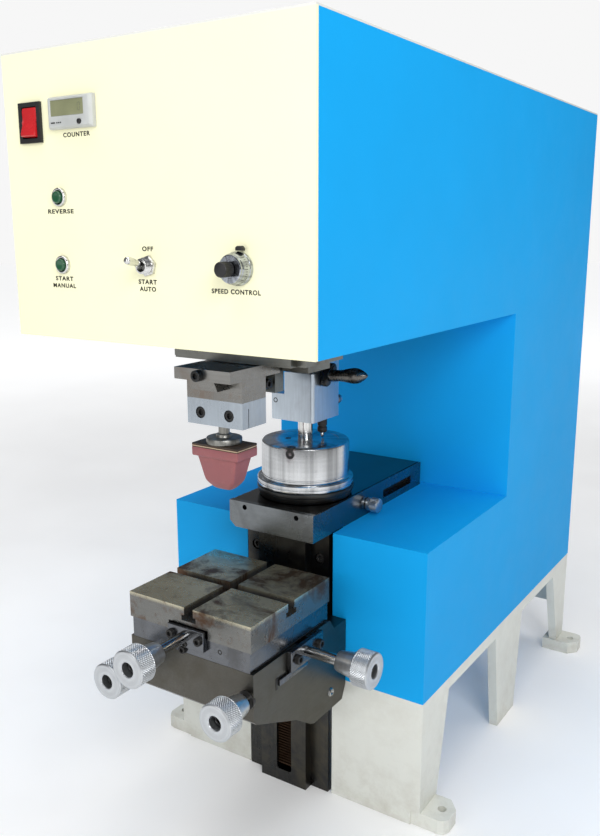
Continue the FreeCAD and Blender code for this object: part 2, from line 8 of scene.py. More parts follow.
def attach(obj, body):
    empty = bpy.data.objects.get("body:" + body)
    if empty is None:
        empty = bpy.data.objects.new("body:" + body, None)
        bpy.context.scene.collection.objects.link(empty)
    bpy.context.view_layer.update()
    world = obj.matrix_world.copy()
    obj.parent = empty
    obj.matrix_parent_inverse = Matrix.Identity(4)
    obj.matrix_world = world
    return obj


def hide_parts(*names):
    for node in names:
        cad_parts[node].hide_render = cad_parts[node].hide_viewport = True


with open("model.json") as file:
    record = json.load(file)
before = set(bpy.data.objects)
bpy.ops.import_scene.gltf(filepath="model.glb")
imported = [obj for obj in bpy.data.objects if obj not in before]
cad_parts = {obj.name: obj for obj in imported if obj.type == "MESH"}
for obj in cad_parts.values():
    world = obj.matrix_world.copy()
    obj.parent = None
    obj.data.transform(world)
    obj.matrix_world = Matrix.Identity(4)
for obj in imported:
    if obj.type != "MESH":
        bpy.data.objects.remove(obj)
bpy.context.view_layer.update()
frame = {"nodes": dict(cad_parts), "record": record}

WORLD = 0.19     # strength of the soft surrounding light
FY = 428.0      # the row's origin lies this far behind the control panel's face, in mm


def P(x, y, z):
    return Vector((x / 1000.0, (y - FY) / 1000.0, z / 1000.0))


# ------------------------------------------------------------------ camera
cam_d = bpy.data.cameras.new("camera")
cam = bpy.data.objects.new("camera", cam_d)
bpy.context.scene.collection.objects.link(cam)
right = Vector((0.837282, 0.546767, -0.0023)).normalized()
fwd = Vector((-0.534342, 0.817349, -0.215452)).normalized()
right = (right - fwd * right.dot(fwd)).normalized()
up = right.cross(fwd)
cm = Matrix((right, up, -fwd)).transposed().to_4x4()
cm.translation = P(458.1, -490.7, 575.1)
cam.matrix_world = cm
cam_d.sensor_width = 36.0
cam_d.lens = 37.21
cam_d.clip_start = 0.01
cam_d.clip_end = 50
bpy.context.scene.camera = cam

# ---------------------------------------------------------- material nodes


class G:
    """A small node-graph builder for one material."""

    def __init__(self, name):
        self.m = bpy.data.materials.new(name)
        self.m.use_nodes = True
        self.t = self.m.node_tree
        self.b = self.t.nodes["Principled BSDF"]
        self.co = self.t.nodes.new("ShaderNodeTexCoord").outputs["Object"]

    def link(self, a, b):
        self.t.links.new(a, b)

    def node(self, kind, **props):
        n = self.t.nodes.new(kind)
        for k, v in props.items():
            setattr(n, k, v)
        return n

    def mapped(self, scale, loc=(0, 0, 0), rot=(0, 0, 0), src=None):
        n = self.node("ShaderNodeMapping")
        n.inputs["Scale"].default_value = scale
        n.inputs["Location"].default_value = loc
        n.inputs["Rotation"].default_value = rot
        self.link(src or self.co, n.inputs["Vector"])
        return n.outputs["Vector"]

    def noise(self, scale, detail=3.0, rough=0.55, dist=0.0, src=None):
        n = self.node("ShaderNodeTexNoise")
        n.inputs["Scale"].default_value = scale
        n.inputs["Detail"].default_value = detail
        n.inputs["Roughness"].default_value = rough
        n.inputs["Distortion"].default_value = dist
        self.link(src or self.co, n.inputs["Vector"])
        return n.outputs["Fac"]

    def voronoi(self, scale, src=None):
        n = self.node("ShaderNodeTexVoronoi")
        n.inputs["Scale"].default_value = scale
        self.link(src or self.co, n.inputs["Vector"])
        return n.outputs["Distance"]

    def ramp(self, fac, *stops):
        n = self.node("ShaderNodeValToRGB")
        e = n.color_ramp.elements
        while len(e) < len(stops):
            e.new(0.5)
        for el, (p, c) in zip(e, stops):
            el.position = p
            el.color = (c, c, c, 1) if isinstance(c, (int, float)) else (*c, 1)
        self.link(fac, n.inputs["Fac"])
        return n.outputs["Color"]

    def span(self, fac, lo, hi, a=0.0, b=1.0):
        n = self.node("ShaderNodeMapRange")
        n.inputs["From Min"].default_value = a
        n.inputs["From Max"].default_value = b
        n.inputs["To Min"].default_value = lo
        n.inputs["To Max"].default_value = hi
        self.link(fac, n.inputs["Value"])
        return n.outputs["Result"]

    def mix(self, fac, a, b, mode="MIX"):
        n = self.node("ShaderNodeMix", data_type="RGBA", blend_type=mode)
        cols = [s for s in n.inputs if s.type == "RGBA"]
        facs = [s for s in n.inputs if s.type == "VALUE"]
        if isinstance(fac, (int, float)):
            facs[0].default_value = fac
        else:
            self.link(fac, facs[0])
        for s, v in ((cols[0], a), (cols[1], b)):
            if isinstance(v, (tuple, list)):
                s.default_value = (*v, 1)
            else:
                self.link(v, s)
        return [o for o in n.outputs if o.type == "RGBA"][0]

    def math(self, op, a, b=None):
        n = self.node("ShaderNodeMath", operation=op)
        for s, v in zip(n.inputs, (a, b)):
            if v is None:
                continue
            if isinstance(v, (int, float)):
                s.default_value = v
            else:
                self.link(v, s)
        return n.outputs[0]

    def turned(self, ring):
        """(radius, height) coordinates round the piece's own Z axis, so that noise makes lathe rings"""
        s = self.node("ShaderNodeSeparateXYZ")
        self.link(self.co, s.inputs[0])
        r = self.math("SQRT", self.math("ADD", self.math("POWER", s.outputs[0], 2.0), self.math("POWER", s.outputs[1], 2.0)))
        c = self.node("ShaderNodeCombineXYZ")
        self.link(self.math("MULTIPLY", r, ring), c.inputs[0])
        self.link(self.math("MULTIPLY", s.outputs[2], ring), c.inputs[2])
        return c.outputs[0]

    def around(self):
        """unit direction round the piece's own Z axis"""
        n = self.node("ShaderNodeVectorMath", operation="MULTIPLY")
        self.link(self.co, n.inputs[0])
        n.inputs[1].default_value = (1, 1, 0)
        m = self.node("ShaderNodeVectorMath", operation="NORMALIZE")
        self.link(n.outputs[0], m.inputs[0])
        return m.outputs[0]

    def bump(self, fac, strength, dist=0.0002, prev=None):
        n = self.node("ShaderNodeBump")
        n.inputs["Strength"].default_value = strength
        n.inputs["Distance"].default_value = dist
        self.link(fac, n.inputs["Height"])
        if prev is not None:
            self.link(prev, n.inputs["Normal"])
        return n.outputs["Normal"]

    def done(self, color=None, rough=None, normal=None, metallic=0.0, coat=0.0, coat_rough=0.1, spec=0.5, sheen=0.0, sub=0.0):
        b = self.b
        if color is not None:
            self.link(color, b.inputs["Base Color"])
        if rough is not None:
            if isinstance(rough, (int, float)):
                b.inputs["Roughness"].default_value = rough
            else:
                self.link(rough, b.inputs["Roughness"])
        if normal is not None:
            self.link(normal, b.inputs["Normal"])
        b.inputs["Metallic"].default_value = metallic
        b.inputs["Coat Weight"].default_value = coat
        b.inputs["Coat Roughness"].default_value = coat_rough
        b.inputs["Specular IOR Level"].default_value = spec
        b.inputs["Sheen Weight"].default_value = sheen
        if sub:
            b.inputs["Subsurface Weight"].default_value = sub
            b.inputs["Subsurface Scale"].default_value = 0.003
        return self.m


def tint(c, k):
    return tuple(min(1.0, v * k) for v in c)


def paint(name, col, rough, peel, grime_and_shade=0.0, coat=0.25, grime_and_shade_col=(0.35, 0.30, 0.22), low=0.02, spec=0.5):
    g = G(name)
    big = g.noise(4.0, 3, 0.6)
    c = g.mix(g.span(big, 0, 1, 0.3, 0.7), tint(col, 0.955), tint(col, 1.03))
    speck = g.noise(420.0, 2, 0.5)
    c = g.mix(g.ramp(speck, (0.70, 0.0), (0.80, 0.10)), c, tint(col, 0.80))
    # darker towards the bottom and mottled by noise, mixed toward the given colour: real grime on the white enamels; on
    # the blue the colour is a deeper blue, which is painted shade
    if grime_and_shade:
        s = g.node("ShaderNodeSeparateXYZ")
        g.link(g.co, s.inputs[0])
        height = g.span(s.outputs[2], 1.0, 0.0, 0.0, low)
        grime_shade_mask = g.math("MULTIPLY", g.ramp(g.noise(28.0, 6, 0.7), (0.44, 0.0), (0.68, 1.0)), grime_and_shade)
        both = g.math("MULTIPLY", g.math("MAXIMUM", height, 0.35), grime_shade_mask)
        c = g.mix(both, c, grime_and_shade_col)
    fine = g.noise(900.0, 2, 0.5)
    mid = g.noise(160.0, 2, 0.5)
    n = g.bump(fine, peel * 0.6, 0.0001)
    n = g.bump(mid, peel, 0.0002, n)
    r = g.span(g.noise(35.0, 4, 0.6), rough * 0.85, rough * 1.18)
    return g.done(c, r, n, coat=coat, coat_rough=0.12, spec=spec)


def steel(name, col, rough, grain=(1, 1, 1), lines=0.25, stain=0.0, stain_col=(0.20, 0.11, 0.055), pits=0.0, stain_scale=14.0, metallic=1.0,
          stain_lo=0.50, stain_hi=0.66, top=None):
    g = G(name)
    v = g.mapped(grain)
    ln = g.noise(600.0, 4, 0.65, src=v)
    ln2 = g.noise(140.0, 3, 0.6, src=v)
    cloud = g.noise(11.0, 5, 0.62)
    c = g.mix(g.span(cloud, 0, 1, 0.32, 0.68), tint(col, 0.80), tint(col, 1.12))
    c = g.mix(g.span(ln, 0.0, 0.30, 0.35, 0.65), c, tint(col, 0.62))
    # faces above the height top[0] take the colour top[1], lighter and warmer than the sides: partly the ground top's
    # own finish, partly painted highlight standing in for light from above
    if top:
        h = g.node("ShaderNodeSeparateXYZ")
        g.link(g.co, h.inputs[0])
        face = g.ramp(g.math("SUBTRACT", h.outputs[2], top[0] - 0.5), (0.4994, 0.0), (0.4997, 1.0))
        c = g.mix(face, c, g.mix(g.span(cloud, 0, 1, 0.32, 0.68), tint(top[1], 0.75), tint(top[1], 1.15)))
    r = g.math("ADD", g.span(ln2, rough * 0.8, rough * 1.2), g.span(cloud, -0.04, 0.06, 0.3, 0.7))
    if stain:
        st = g.noise(stain_scale, 7, 0.68, 0.6)
        mask = g.ramp(st, (stain_lo, 0.0), (stain_hi, 1.0))
        fleck = g.ramp(g.noise(stain_scale * 9, 4, 0.7), (0.55, 0.0), (0.72, 1.0))
        mask = g.math("MULTIPLY", g.math("MAXIMUM", mask, g.math("MULTIPLY", fleck, 0.55)), stain)
        c = g.mix(mask, c, stain_col)
        r = g.math("ADD", r, g.math("MULTIPLY", mask, 0.22))
    n = g.bump(ln, lines, 0.00008)
    if pits:
        pt = g.ramp(g.voronoi(500.0), (0.0, 0.0), (0.16, 1.0))
        n = g.bump(pt, pits, 0.0001, n)
    n = g.bump(g.noise(60.0, 3), 0.05, 0.0003, n)
    return g.done(c, r, n, metallic=metallic)


def turned(name, col, rough, ring=1.0, depth=0.35, metallic=1.0, stain=0.0, painted_sheen=0.0):
    g = G(name)
    v = g.turned(ring)
    a = g.noise(1500.0, 3, 0.7, src=v)
    b = g.noise(260.0, 3, 0.6, src=v)
    cloud = g.noise(60.0, 4, 0.6)
    c = g.mix(g.span(b, 0, 1, 0.3, 0.7), tint(col, 0.86), tint(col, 1.08))
    c = g.mix(g.ramp(cloud, (0.55, 0.0), (0.8, 0.35 + stain)), c, tint(col, 0.62))
    r = g.math("ADD", g.span(a, rough * 0.75, rough * 1.25), g.span(cloud, -0.03, 0.06))
    if painted_sheen:
        # painted sheen: dark and light bands along the axis stand in for reflections of the surroundings; they change
        # with the angle round the piece only
        w = g.noise(2.6, 4, 0.62, src=g.around())
        c = g.mix(g.math("MULTIPLY", g.ramp(w, (0.41, 1.0), (0.51, 0.0)), painted_sheen), c, tint(col, 0.34))
        c = g.mix(g.math("MULTIPLY", g.ramp(w, (0.52, 0.0), (0.66, 1.0)), painted_sheen), c, tint(col, 1.3))
    n = g.bump(a, depth, 0.00006)
    n = g.bump(b, depth * 0.5, 0.0001, n)
    return g.done(c, r, n, metallic=metallic)


def plastic(name, col, rough, tex=0.15, scale=700.0, coat=0.0, wear=0.1, spec=0.5, sub=0.0):
    g = G(name)
    c = g.mix(g.span(g.noise(45.0, 4), 0, 1, 0.3, 0.7), tint(col, 0.88), tint(col, 1.10))
    c = g.mix(g.ramp(g.noise(260.0, 5, 0.7), (0.62, 0.0), (0.78, wear)), c, tuple(min(1, v * 1.5 + 0.05) for v in col))
    r = g.span(g.noise(90.0, 4), rough * 0.82, rough * 1.2)
    n = g.bump(g.noise(scale, 3, 0.6), tex, 0.0001)
    return g.done(c, r, n, coat=coat, coat_rough=0.08, spec=spec, sub=sub)


def silicone(name, col):
    g = G(name)
    c = g.mix(g.span(g.noise(22.0, 4, 0.6), 0, 1, 0.3, 0.7), tint(col, 0.86), tint(col, 1.12))
    c = g.mix(g.ramp(g.noise(170.0, 5, 0.7), (0.58, 0.0), (0.75, 0.35)), c, tuple(min(1, v * 1.25 + 0.05) for v in col))
    r = g.span(g.noise(50.0, 4), 0.40, 0.62)
    n = g.bump(g.noise(320.0, 4, 0.6), 0.16, 0.00015)
    n = g.bump(g.noise(30.0, 2), 0.12, 0.0008, n)
    return g.done(c, r, n, sheen=0.15, sub=0.12)


def wood(name, col, col2, layer=1.25):
    g = G(name)
    grain = g.noise(260.0, 6, 0.7, 0.4, src=g.mapped((0.06, 1.0, 1.0)))
    s = g.node("ShaderNodeSeparateXYZ")
    g.link(g.co, s.inputs[0])
    ply = g.math("FRACT", g.math("MULTIPLY", s.outputs[2], 1000.0 / (2 * layer)))
    band = g.ramp(ply, (0.46, 0.0), (0.54, 1.0))
    c = g.mix(band, col, col2)
    c = g.mix(g.ramp(grain, (0.35, 0.0), (0.7, 0.55)), c, tint(col, 0.45))
    n = g.bump(grain, 0.3, 0.0002)
    return g.done(c, g.span(grain, 0.5, 0.75), n)


BLUE = (0.006, 0.375, 0.830)
M = {
    # blue: its darker-towards-the-bottom mix is a deeper blue, painted shade
    "blue_paint": paint("blue_powder_coat", BLUE, 0.52, 0.07, grime_and_shade=0.04, grime_and_shade_col=(0.006, 0.16, 0.40), coat=0.0, spec=0.10),
    "cream_paint": paint("cream_enamel", (0.94, 0.915, 0.635), 0.50, 0.04, grime_and_shade=0.0, coat=0.0, spec=0.2),
    "white_paint": paint("white_enamel", (0.74, 0.75, 0.69), 0.45, 0.12, grime_and_shade=0.40, coat=0.10, low=0.10),
    "top_white": paint("white_cover_enamel", (0.74, 0.74, 0.70), 0.40, 0.08, grime_and_shade=0.06, coat=0.2),
    "ground_steel": steel("ground_steel", (0.34, 0.33, 0.31), 0.27, (1, 0.04, 1), 0.20, 0.35, stain_scale=22.0),
    "ground_steel_x": steel("ground_steel_x", (0.27, 0.265, 0.25), 0.27, (0.04, 1, 1), 0.22, 0.35, stain_scale=20.0),
    "saddle_steel": steel("saddle_steel", (0.165, 0.172, 0.185), 0.24, (0.04, 1, 1), 0.22, 0.4, (0.05, 0.045, 0.04), 0.1, stain_scale=20.0),
    "under_steel": steel("under_steel", (0.20, 0.20, 0.18), 0.28, (0.04, 1, 1), 0.22, 0.35, (0.07, 0.05, 0.03), stain_scale=20.0),
    # table: its top face has a lighter colour of its own, partly its ground finish, partly painted highlight from above
    "table_steel": steel("table_steel", (0.205, 0.205, 0.195), 0.27, (0.05, 1, 1), 0.16, 0.95, (0.105, 0.055, 0.030), 0.10, 13.0, metallic=0.84, stain_lo=0.52, stain_hi=0.62, top=(0.254, (0.62, 0.575, 0.42))),
    "holder_steel": steel("holder_steel", (0.20, 0.215, 0.225), 0.22, (0.05, 1, 1), 0.18, 0.4, (0.06, 0.055, 0.05), stain_scale=18.0),
    "dark_steel": steel("dark_steel", (0.085, 0.082, 0.078), 0.34, (1, 1, 0.05), 0.2, 0.45, (0.05, 0.03, 0.02), 0.08, 24.0),
    "column_steel": steel("column_steel", (0.058, 0.058, 0.057), 0.28, (1, 1, 0.04), 0.25, 0.5, (0.13, 0.115, 0.08), 0.08, 16.0),
    "rack_steel": steel("rack_steel", (0.075, 0.045, 0.028), 0.45, (0.1, 1, 1), 0.25, 0.7, (0.035, 0.016, 0.008), 0.2, 60.0),
    "knee_iron": steel("knee_iron", (0.11, 0.105, 0.092), 0.33, (1, 0.12, 1), 0.28, 0.45, (0.085, 0.075, 0.055), 0.25, 18.0),
    "milled_aluminium": steel("milled_aluminium", (0.47, 0.525, 0.58), 0.30, (1, 1, 0.06), 0.25, 0.22, (0.35, 0.36, 0.38), 0.1, 34.0),
    "turned_aluminium": turned("turned_aluminium", (0.70, 0.71, 0.72), 0.28, 1.0, 0.45),
    "knob_aluminium": turned("knob_aluminium", (0.54, 0.56, 0.58), 0.30, 0.8, 0.35, metallic=0.95, stain=0.08),
    # the turned metals below that are given a sheen amount carry painted sheen: light and dark bands along the axis
    # standing in for reflections
    "cup_aluminium": turned("cup_aluminium", (0.54, 0.55, 0.56), 0.22, 0.8, 0.5, painted_sheen=0.55),
    "bright_steel": turned("bright_steel", (0.66, 0.66, 0.65), 0.16, 0.5, 0.12, painted_sheen=0.25),
    "dial_chrome": turned("dial_chrome", (0.45, 0.48, 0.53), 0.12, 0.5, 0.12, painted_sheen=0.6),
    "shaft_steel": turned("shaft_steel", (0.42, 0.42, 0.41), 0.16, 0.8, 0.3, stain=0.1, painted_sheen=0.4),
    "spindle_steel": turned("spindle_steel", (0.27, 0.265, 0.245), 0.36, 0.8, 0.35, stain=0.1, painted_sheen=0.35),
    "rear_bolt": turned("rear_bolt", (0.26, 0.20, 0.18), 0.30, 0.8, 0.3, stain=0.2),
    "black_steel": turned("blacked_steel", (0.030, 0.029, 0.028), 0.34, 0.6, 0.25, metallic=0.6),
    "handle_steel": turned("handle_steel", (0.125, 0.118, 0.108), 0.26, 0.35, 0.18, metallic=0.97, stain=0.2),
    "black_plastic": plastic("black_plastic", (0.012, 0.012, 0.013), 0.42, 0.2, spec=0.4),
    "red_plastic": plastic("red_plastic", (0.50, 0.010, 0.014), 0.26, 0.08, coat=0.3, wear=0.06),
    "green_plastic": plastic("green_plastic", (0.008, 0.075, 0.030), 0.22, 0.06, coat=0.4, wear=0.05),
    "grey_plastic": plastic("grey_plastic", (0.46, 0.475, 0.465), 0.42, 0.18, wear=0.08),
    "lcd": plastic("lcd_glass", (0.235, 0.245, 0.135), 0.14, 0.02, coat=0.6, wear=0.02),
    "lcd_dark": plastic("lcd_segment", (0.10, 0.11, 0.07), 0.3, 0.02, wear=0.0),
    "ink": plastic("panel_print", (0.010, 0.010, 0.010), 0.6, 0.02, wear=0.0, spec=0.1),
    "pink_silicone": silicone("pink_silicone", (0.300, 0.088, 0.092)),
    "ply_dark": wood("ply_dark", (0.085, 0.042, 0.025), (0.13, 0.07, 0.04)),
    "ply_light": wood("ply_light", (0.62, 0.44, 0.27), (0.70, 0.54, 0.36)),
    "ply_top": wood("ply_top", (0.055, 0.034, 0.020), (0.10, 0.06, 0.035), 6.0),
    "plywood": wood("plywood", (0.42, 0.26, 0.13), (0.62, 0.46, 0.28)),
    "white_ceramic": steel("ring_carrier", (0.06, 0.06, 0.058), 0.36, (1, 1, 0.1), 0.2, 0.3, (0.12, 0.11, 0.09), 0.0, 40.0),
    "plate_steel": steel("coated_plate", (0.070, 0.070, 0.070), 0.17, (0.05, 1, 1), 0.10, 0.35, (0.05, 0.035, 0.02), 0.0, 16.0),
    "floor": paint("floor_pale", (0.88, 0.88, 0.88), 0.7, 0.01, coat=0.0),
}
USE = {"holder_base": "holder_steel", "column_plate": "column_steel", "column_rack": "rack_steel", "top_cover": "top_white",
       "table_top": "table_steel", "saddle": "saddle_steel", "pad_block": "ground_steel_x", "carriage_plate": "under_steel", "cup_mount_plate": "under_steel",
       "pad_upper_plate": "ground_steel_x", "pad_clamp_block": "milled_aluminium"}


def put_mat(o, key):
    o.data.materials.clear()
    o.data.materials.append(M[key])


# ------------------------------------------------- finish of the CAD nodes
ROUND = {  # node: (edge radius in mm, smallest edge angle in degrees)
    "side_panels": (0.7, 40), "recess_liner": (0.6, 40), "top_cover": (0.6, 40), "control_panel": (0.5, 40), "rear_cover": (0.4, 40),
    "base_side_plates": (0.9, 25), "base_aprons": (0.8, 40), "foot_lugs": (1.6, 50), "table_top": (0.5, 40), "saddle": (0.5, 40), "knee": (0.7, 25),
    "column_plate": (0.5, 40), "holder_base": (0.45, 30), "cliche_plate": (0.4, 40), "carriage_plate": (0.5, 40), "cup_mount_plate": (0.5, 40),
    "pad_upper_plate": (0.45, 30), "pad_block": (0.45, 30), "pad_clamp_block": (0.4, 40), "pad_backing": (0.25, 40), "cup_holder_block": (0.5, 40),
    "rocker_bezel": (0.5, 40), "power_inlet": (0.5, 40), "ram_bar": (0.4, 50), "bottom_tray": (0.3, 40), "internal_frame": (0.4, 40),
    "drive_controller": (0.5, 40), "carriage_block": (0.5, 50), "ram_actuator": (0.5, 50), "carriage_motor": (0.5, 50), "x_bearing_plate": (0.3, 50),
}
slots = {s["node"]: s["material_slot"] for s in frame["record"]["subparts"]}
for name, o in frame["nodes"].items():
    key = USE.get(name, slots[name])
    key = {"black_oxide": "black_steel"}.get(key, key)
    put_mat(o, key)
    if name in ROUND:
        w, ang = ROUND[name]
        bv = o.modifiers.new("edges", "BEVEL")
        bv.width = w / 1000.0
        bv.segments = 3
        bv.limit_method = "ANGLE"
        bv.angle_limit = math.radians(ang)
        bv.use_clamp_overlap = True
        bv.harden_normals = False
        wn = o.modifiers.new("normals", "WEIGHTED_NORMAL")
        wn.keep_sharp = False
        wn.weight = 60

# ---------------------------------------------------------- mesh utilities


def finish_mesh(name, bm, key, mat=None, sharp=32.0, body=None, reps=()):
    bmesh.ops.recalc_face_normals(bm, faces=bm.faces)
    me = bpy.data.meshes.new(name)
    bm.to_mesh(me)
    bm.free()
    for p in me.polygons:
        p.use_smooth = True
    me.set_sharp_from_angle(angle=math.radians(sharp))
    me.materials.append(M[key])
    o = bpy.data.objects.new(name, me)
    bpy.context.scene.collection.objects.link(o)
    if mat is not None:
        o.matrix_world = mat
    bpy.context.view_layer.update()
    if body:
        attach(o, body)
    if reps:
        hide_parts(*reps)
    return o


def axis_matrix(p, d, spin=0.0):
    q = Vector(d).normalized().to_track_quat("Z", "Y")
    return Matrix.Translation(P(*p)) @ q.to_matrix().to_4x4() @ Matrix.Rotation(spin, 4, "Z")


def radius(r, th):
    """a row's radius is a number, or ("hex", across-flats half) for a six-sided row"""
    if isinstance(r, tuple):
        a = (th + math.pi / 6) % (math.pi / 3) - math.pi / 6
        return r[1] / math.cos(a)
    return r


def lathe_bm(rows, segs):
    bm = bmesh.new()
    loops = []
    for r, a in rows:
        if not isinstance(r, tuple) and r <= 1e-9:
            loops.append([bm.verts.new((0, 0, a / 1000.0))])
            continue
        ring = []
        for i in range(segs):
            th = 2 * math.pi * i / segs
            rr = radius(r, th) / 1000.0
            ring.append(bm.verts.new((rr * math.cos(th), rr * math.sin(th), a / 1000.0)))
        loops.append(ring)
    for A, B in zip(loops, loops[1:]):
        if len(A) == 1 and len(B) == 1:
            continue
        for i in range(segs):
            j = (i + 1) % segs
            if len(A) == 1:
                bm.faces.new((A[0], B[i], B[j]))
            elif len(B) == 1:
                bm.faces.new((A[i], B[0], A[j]))
            else:
                bm.faces.new((A[i], B[i], B[j], A[j]))
    return bm


def lathe(name, rows, p, d, key, body, reps=(), segs=72, sharp=32.0, spin=0.0):
    """turned piece: rows of (radius, distance from p along d) in mm, closed at both ends"""
    rows = list(rows)
    if isinstance(rows[0][0], tuple) or rows[0][0] > 1e-9:
        rows.insert(0, (0.0, rows[0][1]))
    if isinstance(rows[-1][0], tuple) or rows[-1][0] > 1e-9:
        rows.append((0.0, rows[-1][1]))
    return finish_mesh(name, lathe_bm(rows, segs), key, axis_matrix(p, d, spin), sharp, body, reps)


def rbox(name, x0, x1, y0, y1, z0, z1, r, key, body, reps=(), segs=3):
    bm = bmesh.new()
    bmesh.ops.create_cube(bm, size=1.0)
    a, b = P(x0, y0, z0), P(x1, y1, z1)
    for v in bm.verts:
        v.co = Vector([a[i] + (v.co[i] + 0.5) * (b[i] - a[i]) for i in range(3)])
    bmesh.ops.bevel(bm, geom=list(bm.edges), offset=r / 1000.0, segments=segs, profile=0.5, affect="EDGES")
    return finish_mesh(name, bm, key, None, 40.0, body, reps)


def prism(name, pts, axis, a0, a1, r, key, body, reps=(), segs=2, sharp=30.0):
    """outline pushed along an axis: (y, z) for X, (x, z) for Y, (x, y) for Z"""
    bm = bmesh.new()

    def co(u, v, a):
        return P(*{"X": (a, u, v), "Y": (u, a, v), "Z": (u, v, a)}[axis])
    lo = [bm.verts.new(co(u, v, a0)) for u, v in pts]
    hi = [bm.verts.new(co(u, v, a1)) for u, v in pts]
    n = len(pts)
    bm.faces.new(lo)
    bm.faces.new(hi[::-1])
    for i in range(n):
        j = (i + 1) % n
        bm.faces.new((lo[i], hi[i], hi[j], lo[j]))
    if r:
        caps = [e for e in bm.edges if (e.verts[0] in lo) == (e.verts[1] in lo)]
        bmesh.ops.bevel(bm, geom=caps, offset=r / 1000.0, segments=segs, profile=0.5, affect="EDGES")
    return finish_mesh(name, bm, key, None, sharp, body, reps)


def knurled(name, r, h, p, d, key, body, teeth=44, depth=0.45, ch=1.4, neck=None, recess=6.2, recess_d=4.0, pitch=None, reps=(), straight=False):
    """knurled head, face at p; the neck's rows follow behind it"""
    n = teeth * 4
    pitch = pitch or 2 * math.pi * r / teeth
    body_h = h - 2 * ch
    rows = max(8, int(round(body_h / pitch * 4)))
    bm = bmesh.new()

    def ring(rf, a):
        return [bm.verts.new((rf(i) * math.cos(2 * math.pi * i / n) / 1000.0, rf(i) * math.sin(2 * math.pi * i / n) / 1000.0, a / 1000.0)) for i in range(n)]

    def kn(i, a):
        u = i / 4.0
        w = a / pitch
        if straight:
            t = abs(u - round(u)) * 2
            return r - depth * (1 - min(1.0, t * 1.4))
        t1 = abs((u + w) - round(u + w)) * 2
        t2 = abs((u - w) - round(u - w)) * 2
        return r - depth * (1 - min(t1, t2))
    loops = []
    if recess:
        loops.append([bm.verts.new((0, 0, recess_d / 1000.0))])
        loops.append(ring(lambda i: recess - 0.3, recess_d))
        loops.append(ring(lambda i: recess, recess_d - 0.3))
        loops.append(ring(lambda i: recess, 0.7))
        loops.append(ring(lambda i: recess + 0.7, 0.0))
    else:
        loops.append([bm.verts.new((0, 0, 0))])
    rin = r - ch
    for q in (0.45, 0.72):
        g0 = (recess or 0) + (rin - (recess or 0)) * q
        for dr, dz in ((0.0, 0.0), (0.08, 0.06), (0.22, 0.06), (0.3, 0.0)):
            if r > 12:
                loops.append(ring(lambda i, v=g0 + dr: v, dz))
    loops.append(ring(lambda i: rin - 0.15, 0.0))
    loops.append(ring(lambda i: rin + 0.1, 0.12))
    loops.append(ring(lambda i: r - 0.12, ch - 0.08))
    for k in range(rows + 1):
        a = ch + body_h * k / rows
        loops.append(ring(lambda i, a=a: kn(i, a - ch), a))
    loops.append(ring(lambda i: r - 0.12, h - ch + 0.08))
    loops.append(ring(lambda i: rin + 0.1, h - 0.12))
    loops.append(ring(lambda i: rin - 0.15, h))
    for rr, a in (neck or []):
        loops.append(ring(lambda i, rr=rr: rr, a))
    last = (neck[-1][1] if neck else h)
    loops.append([bm.verts.new((0, 0, last / 1000.0))])
    for A, B in zip(loops, loops[1:]):
        for i in range(n):
            j = (i + 1) % n
            if len(A) == 1:
                bm.faces.new((A[0], B[i], B[j]))
            elif len(B) == 1:
                bm.faces.new((A[i], B[0], A[j]))
            else:
                bm.faces.new((A[i], B[i], B[j], A[j]))
    return finish_mesh(name, bm, key, axis_matrix(p, d), 28.0, body, reps)


def cap_screw(name, p, d, r, h, body, key="black_steel", reps=(), hexr=None, shank=0.0, shank_r=3.0, spin=0.0):
    """socket-head cap screw: p is the top of the head, d points into the work"""
    hexr = hexr or r * 0.50
    rows = [(0, h * 0.62), (("hex", hexr * 0.8), h * 0.62), (("hex", hexr), h * 0.58), (("hex", hexr), 0.15), (("hex", hexr + 0.15), 0.0), (r * 0.84, 0.0), (r * 0.93, 0.12),
            (r * 0.985, 0.4), (r, 0.9), (r, h - 0.15), (r - 0.15, h)]
    if shank:
        rows += [(shank_r, h), (shank_r, h + shank)]
    return lathe(name, rows, p, d, key, body, reps, segs=48, sharp=30, spin=spin)


# ------------------------------------------------------------------- knobs
CX = -3.0
NECK = [(12.6, 17.02), (12.3, 17.3), (9.3, 34.9), (9.0, 35.6), (8.3, 36.0)]


def knob_set(name, p, d, body, shaft_len, node):
    knurled(name + "_grip", 16.5, 17.0, p, d, "knob_aluminium", body, teeth=46, depth=0.7, ch=1.2, neck=NECK, recess=6.2, recess_d=10.8, reps=(node,))
    dv = Vector(d)
    q = [p[i] + dv[i] * 6.2 for i in range(3)]
    cap_screw(name + "_screw", q, d, 5.4, 4.4, body, hexr=2.9)
    q = [p[i] + dv[i] * 35.5 for i in range(3)]
    rows = [(4.0, 0.0), (4.95, 0.2), (4.95, shaft_len - 1.0), (4.2, shaft_len)]
    lathe(name + "_spindle", rows, q, d, "shaft_steel", body, segs=48)


KX3, KX1, KZ, KF = 58.3, -62.3, 186.0, -6.0
knob_set("height_knob", (KX3, KF, KZ), (0, 1, 0), "height_knob", 137.0, "elevation_shaft")
knob_set("lock_knob", (KX1, KF, KZ), (0, 1, 0), "lock_knob", 160.0, "lock_screw")
knob_set("y_feed_knob", (CX, -39, 230), (0, 1, 0), "y_knob", 134.0, "y_screw")
knob_set("x_feed_knob", (140.5, 112, 202), (-1, 0, 0), "x_knob", 125.0, "x_screw")
# black bushes where the spindles enter the knee
for nm, x in (("bush_right", KX3), ("bush_left", KX1)):
    lathe(nm, [(8.2, -0.1), (8.4, 0.1), (8.4, 2.9)], (x, 36.2, KZ), (0, 1, 0), "black_steel", "knee_unit", segs=48)

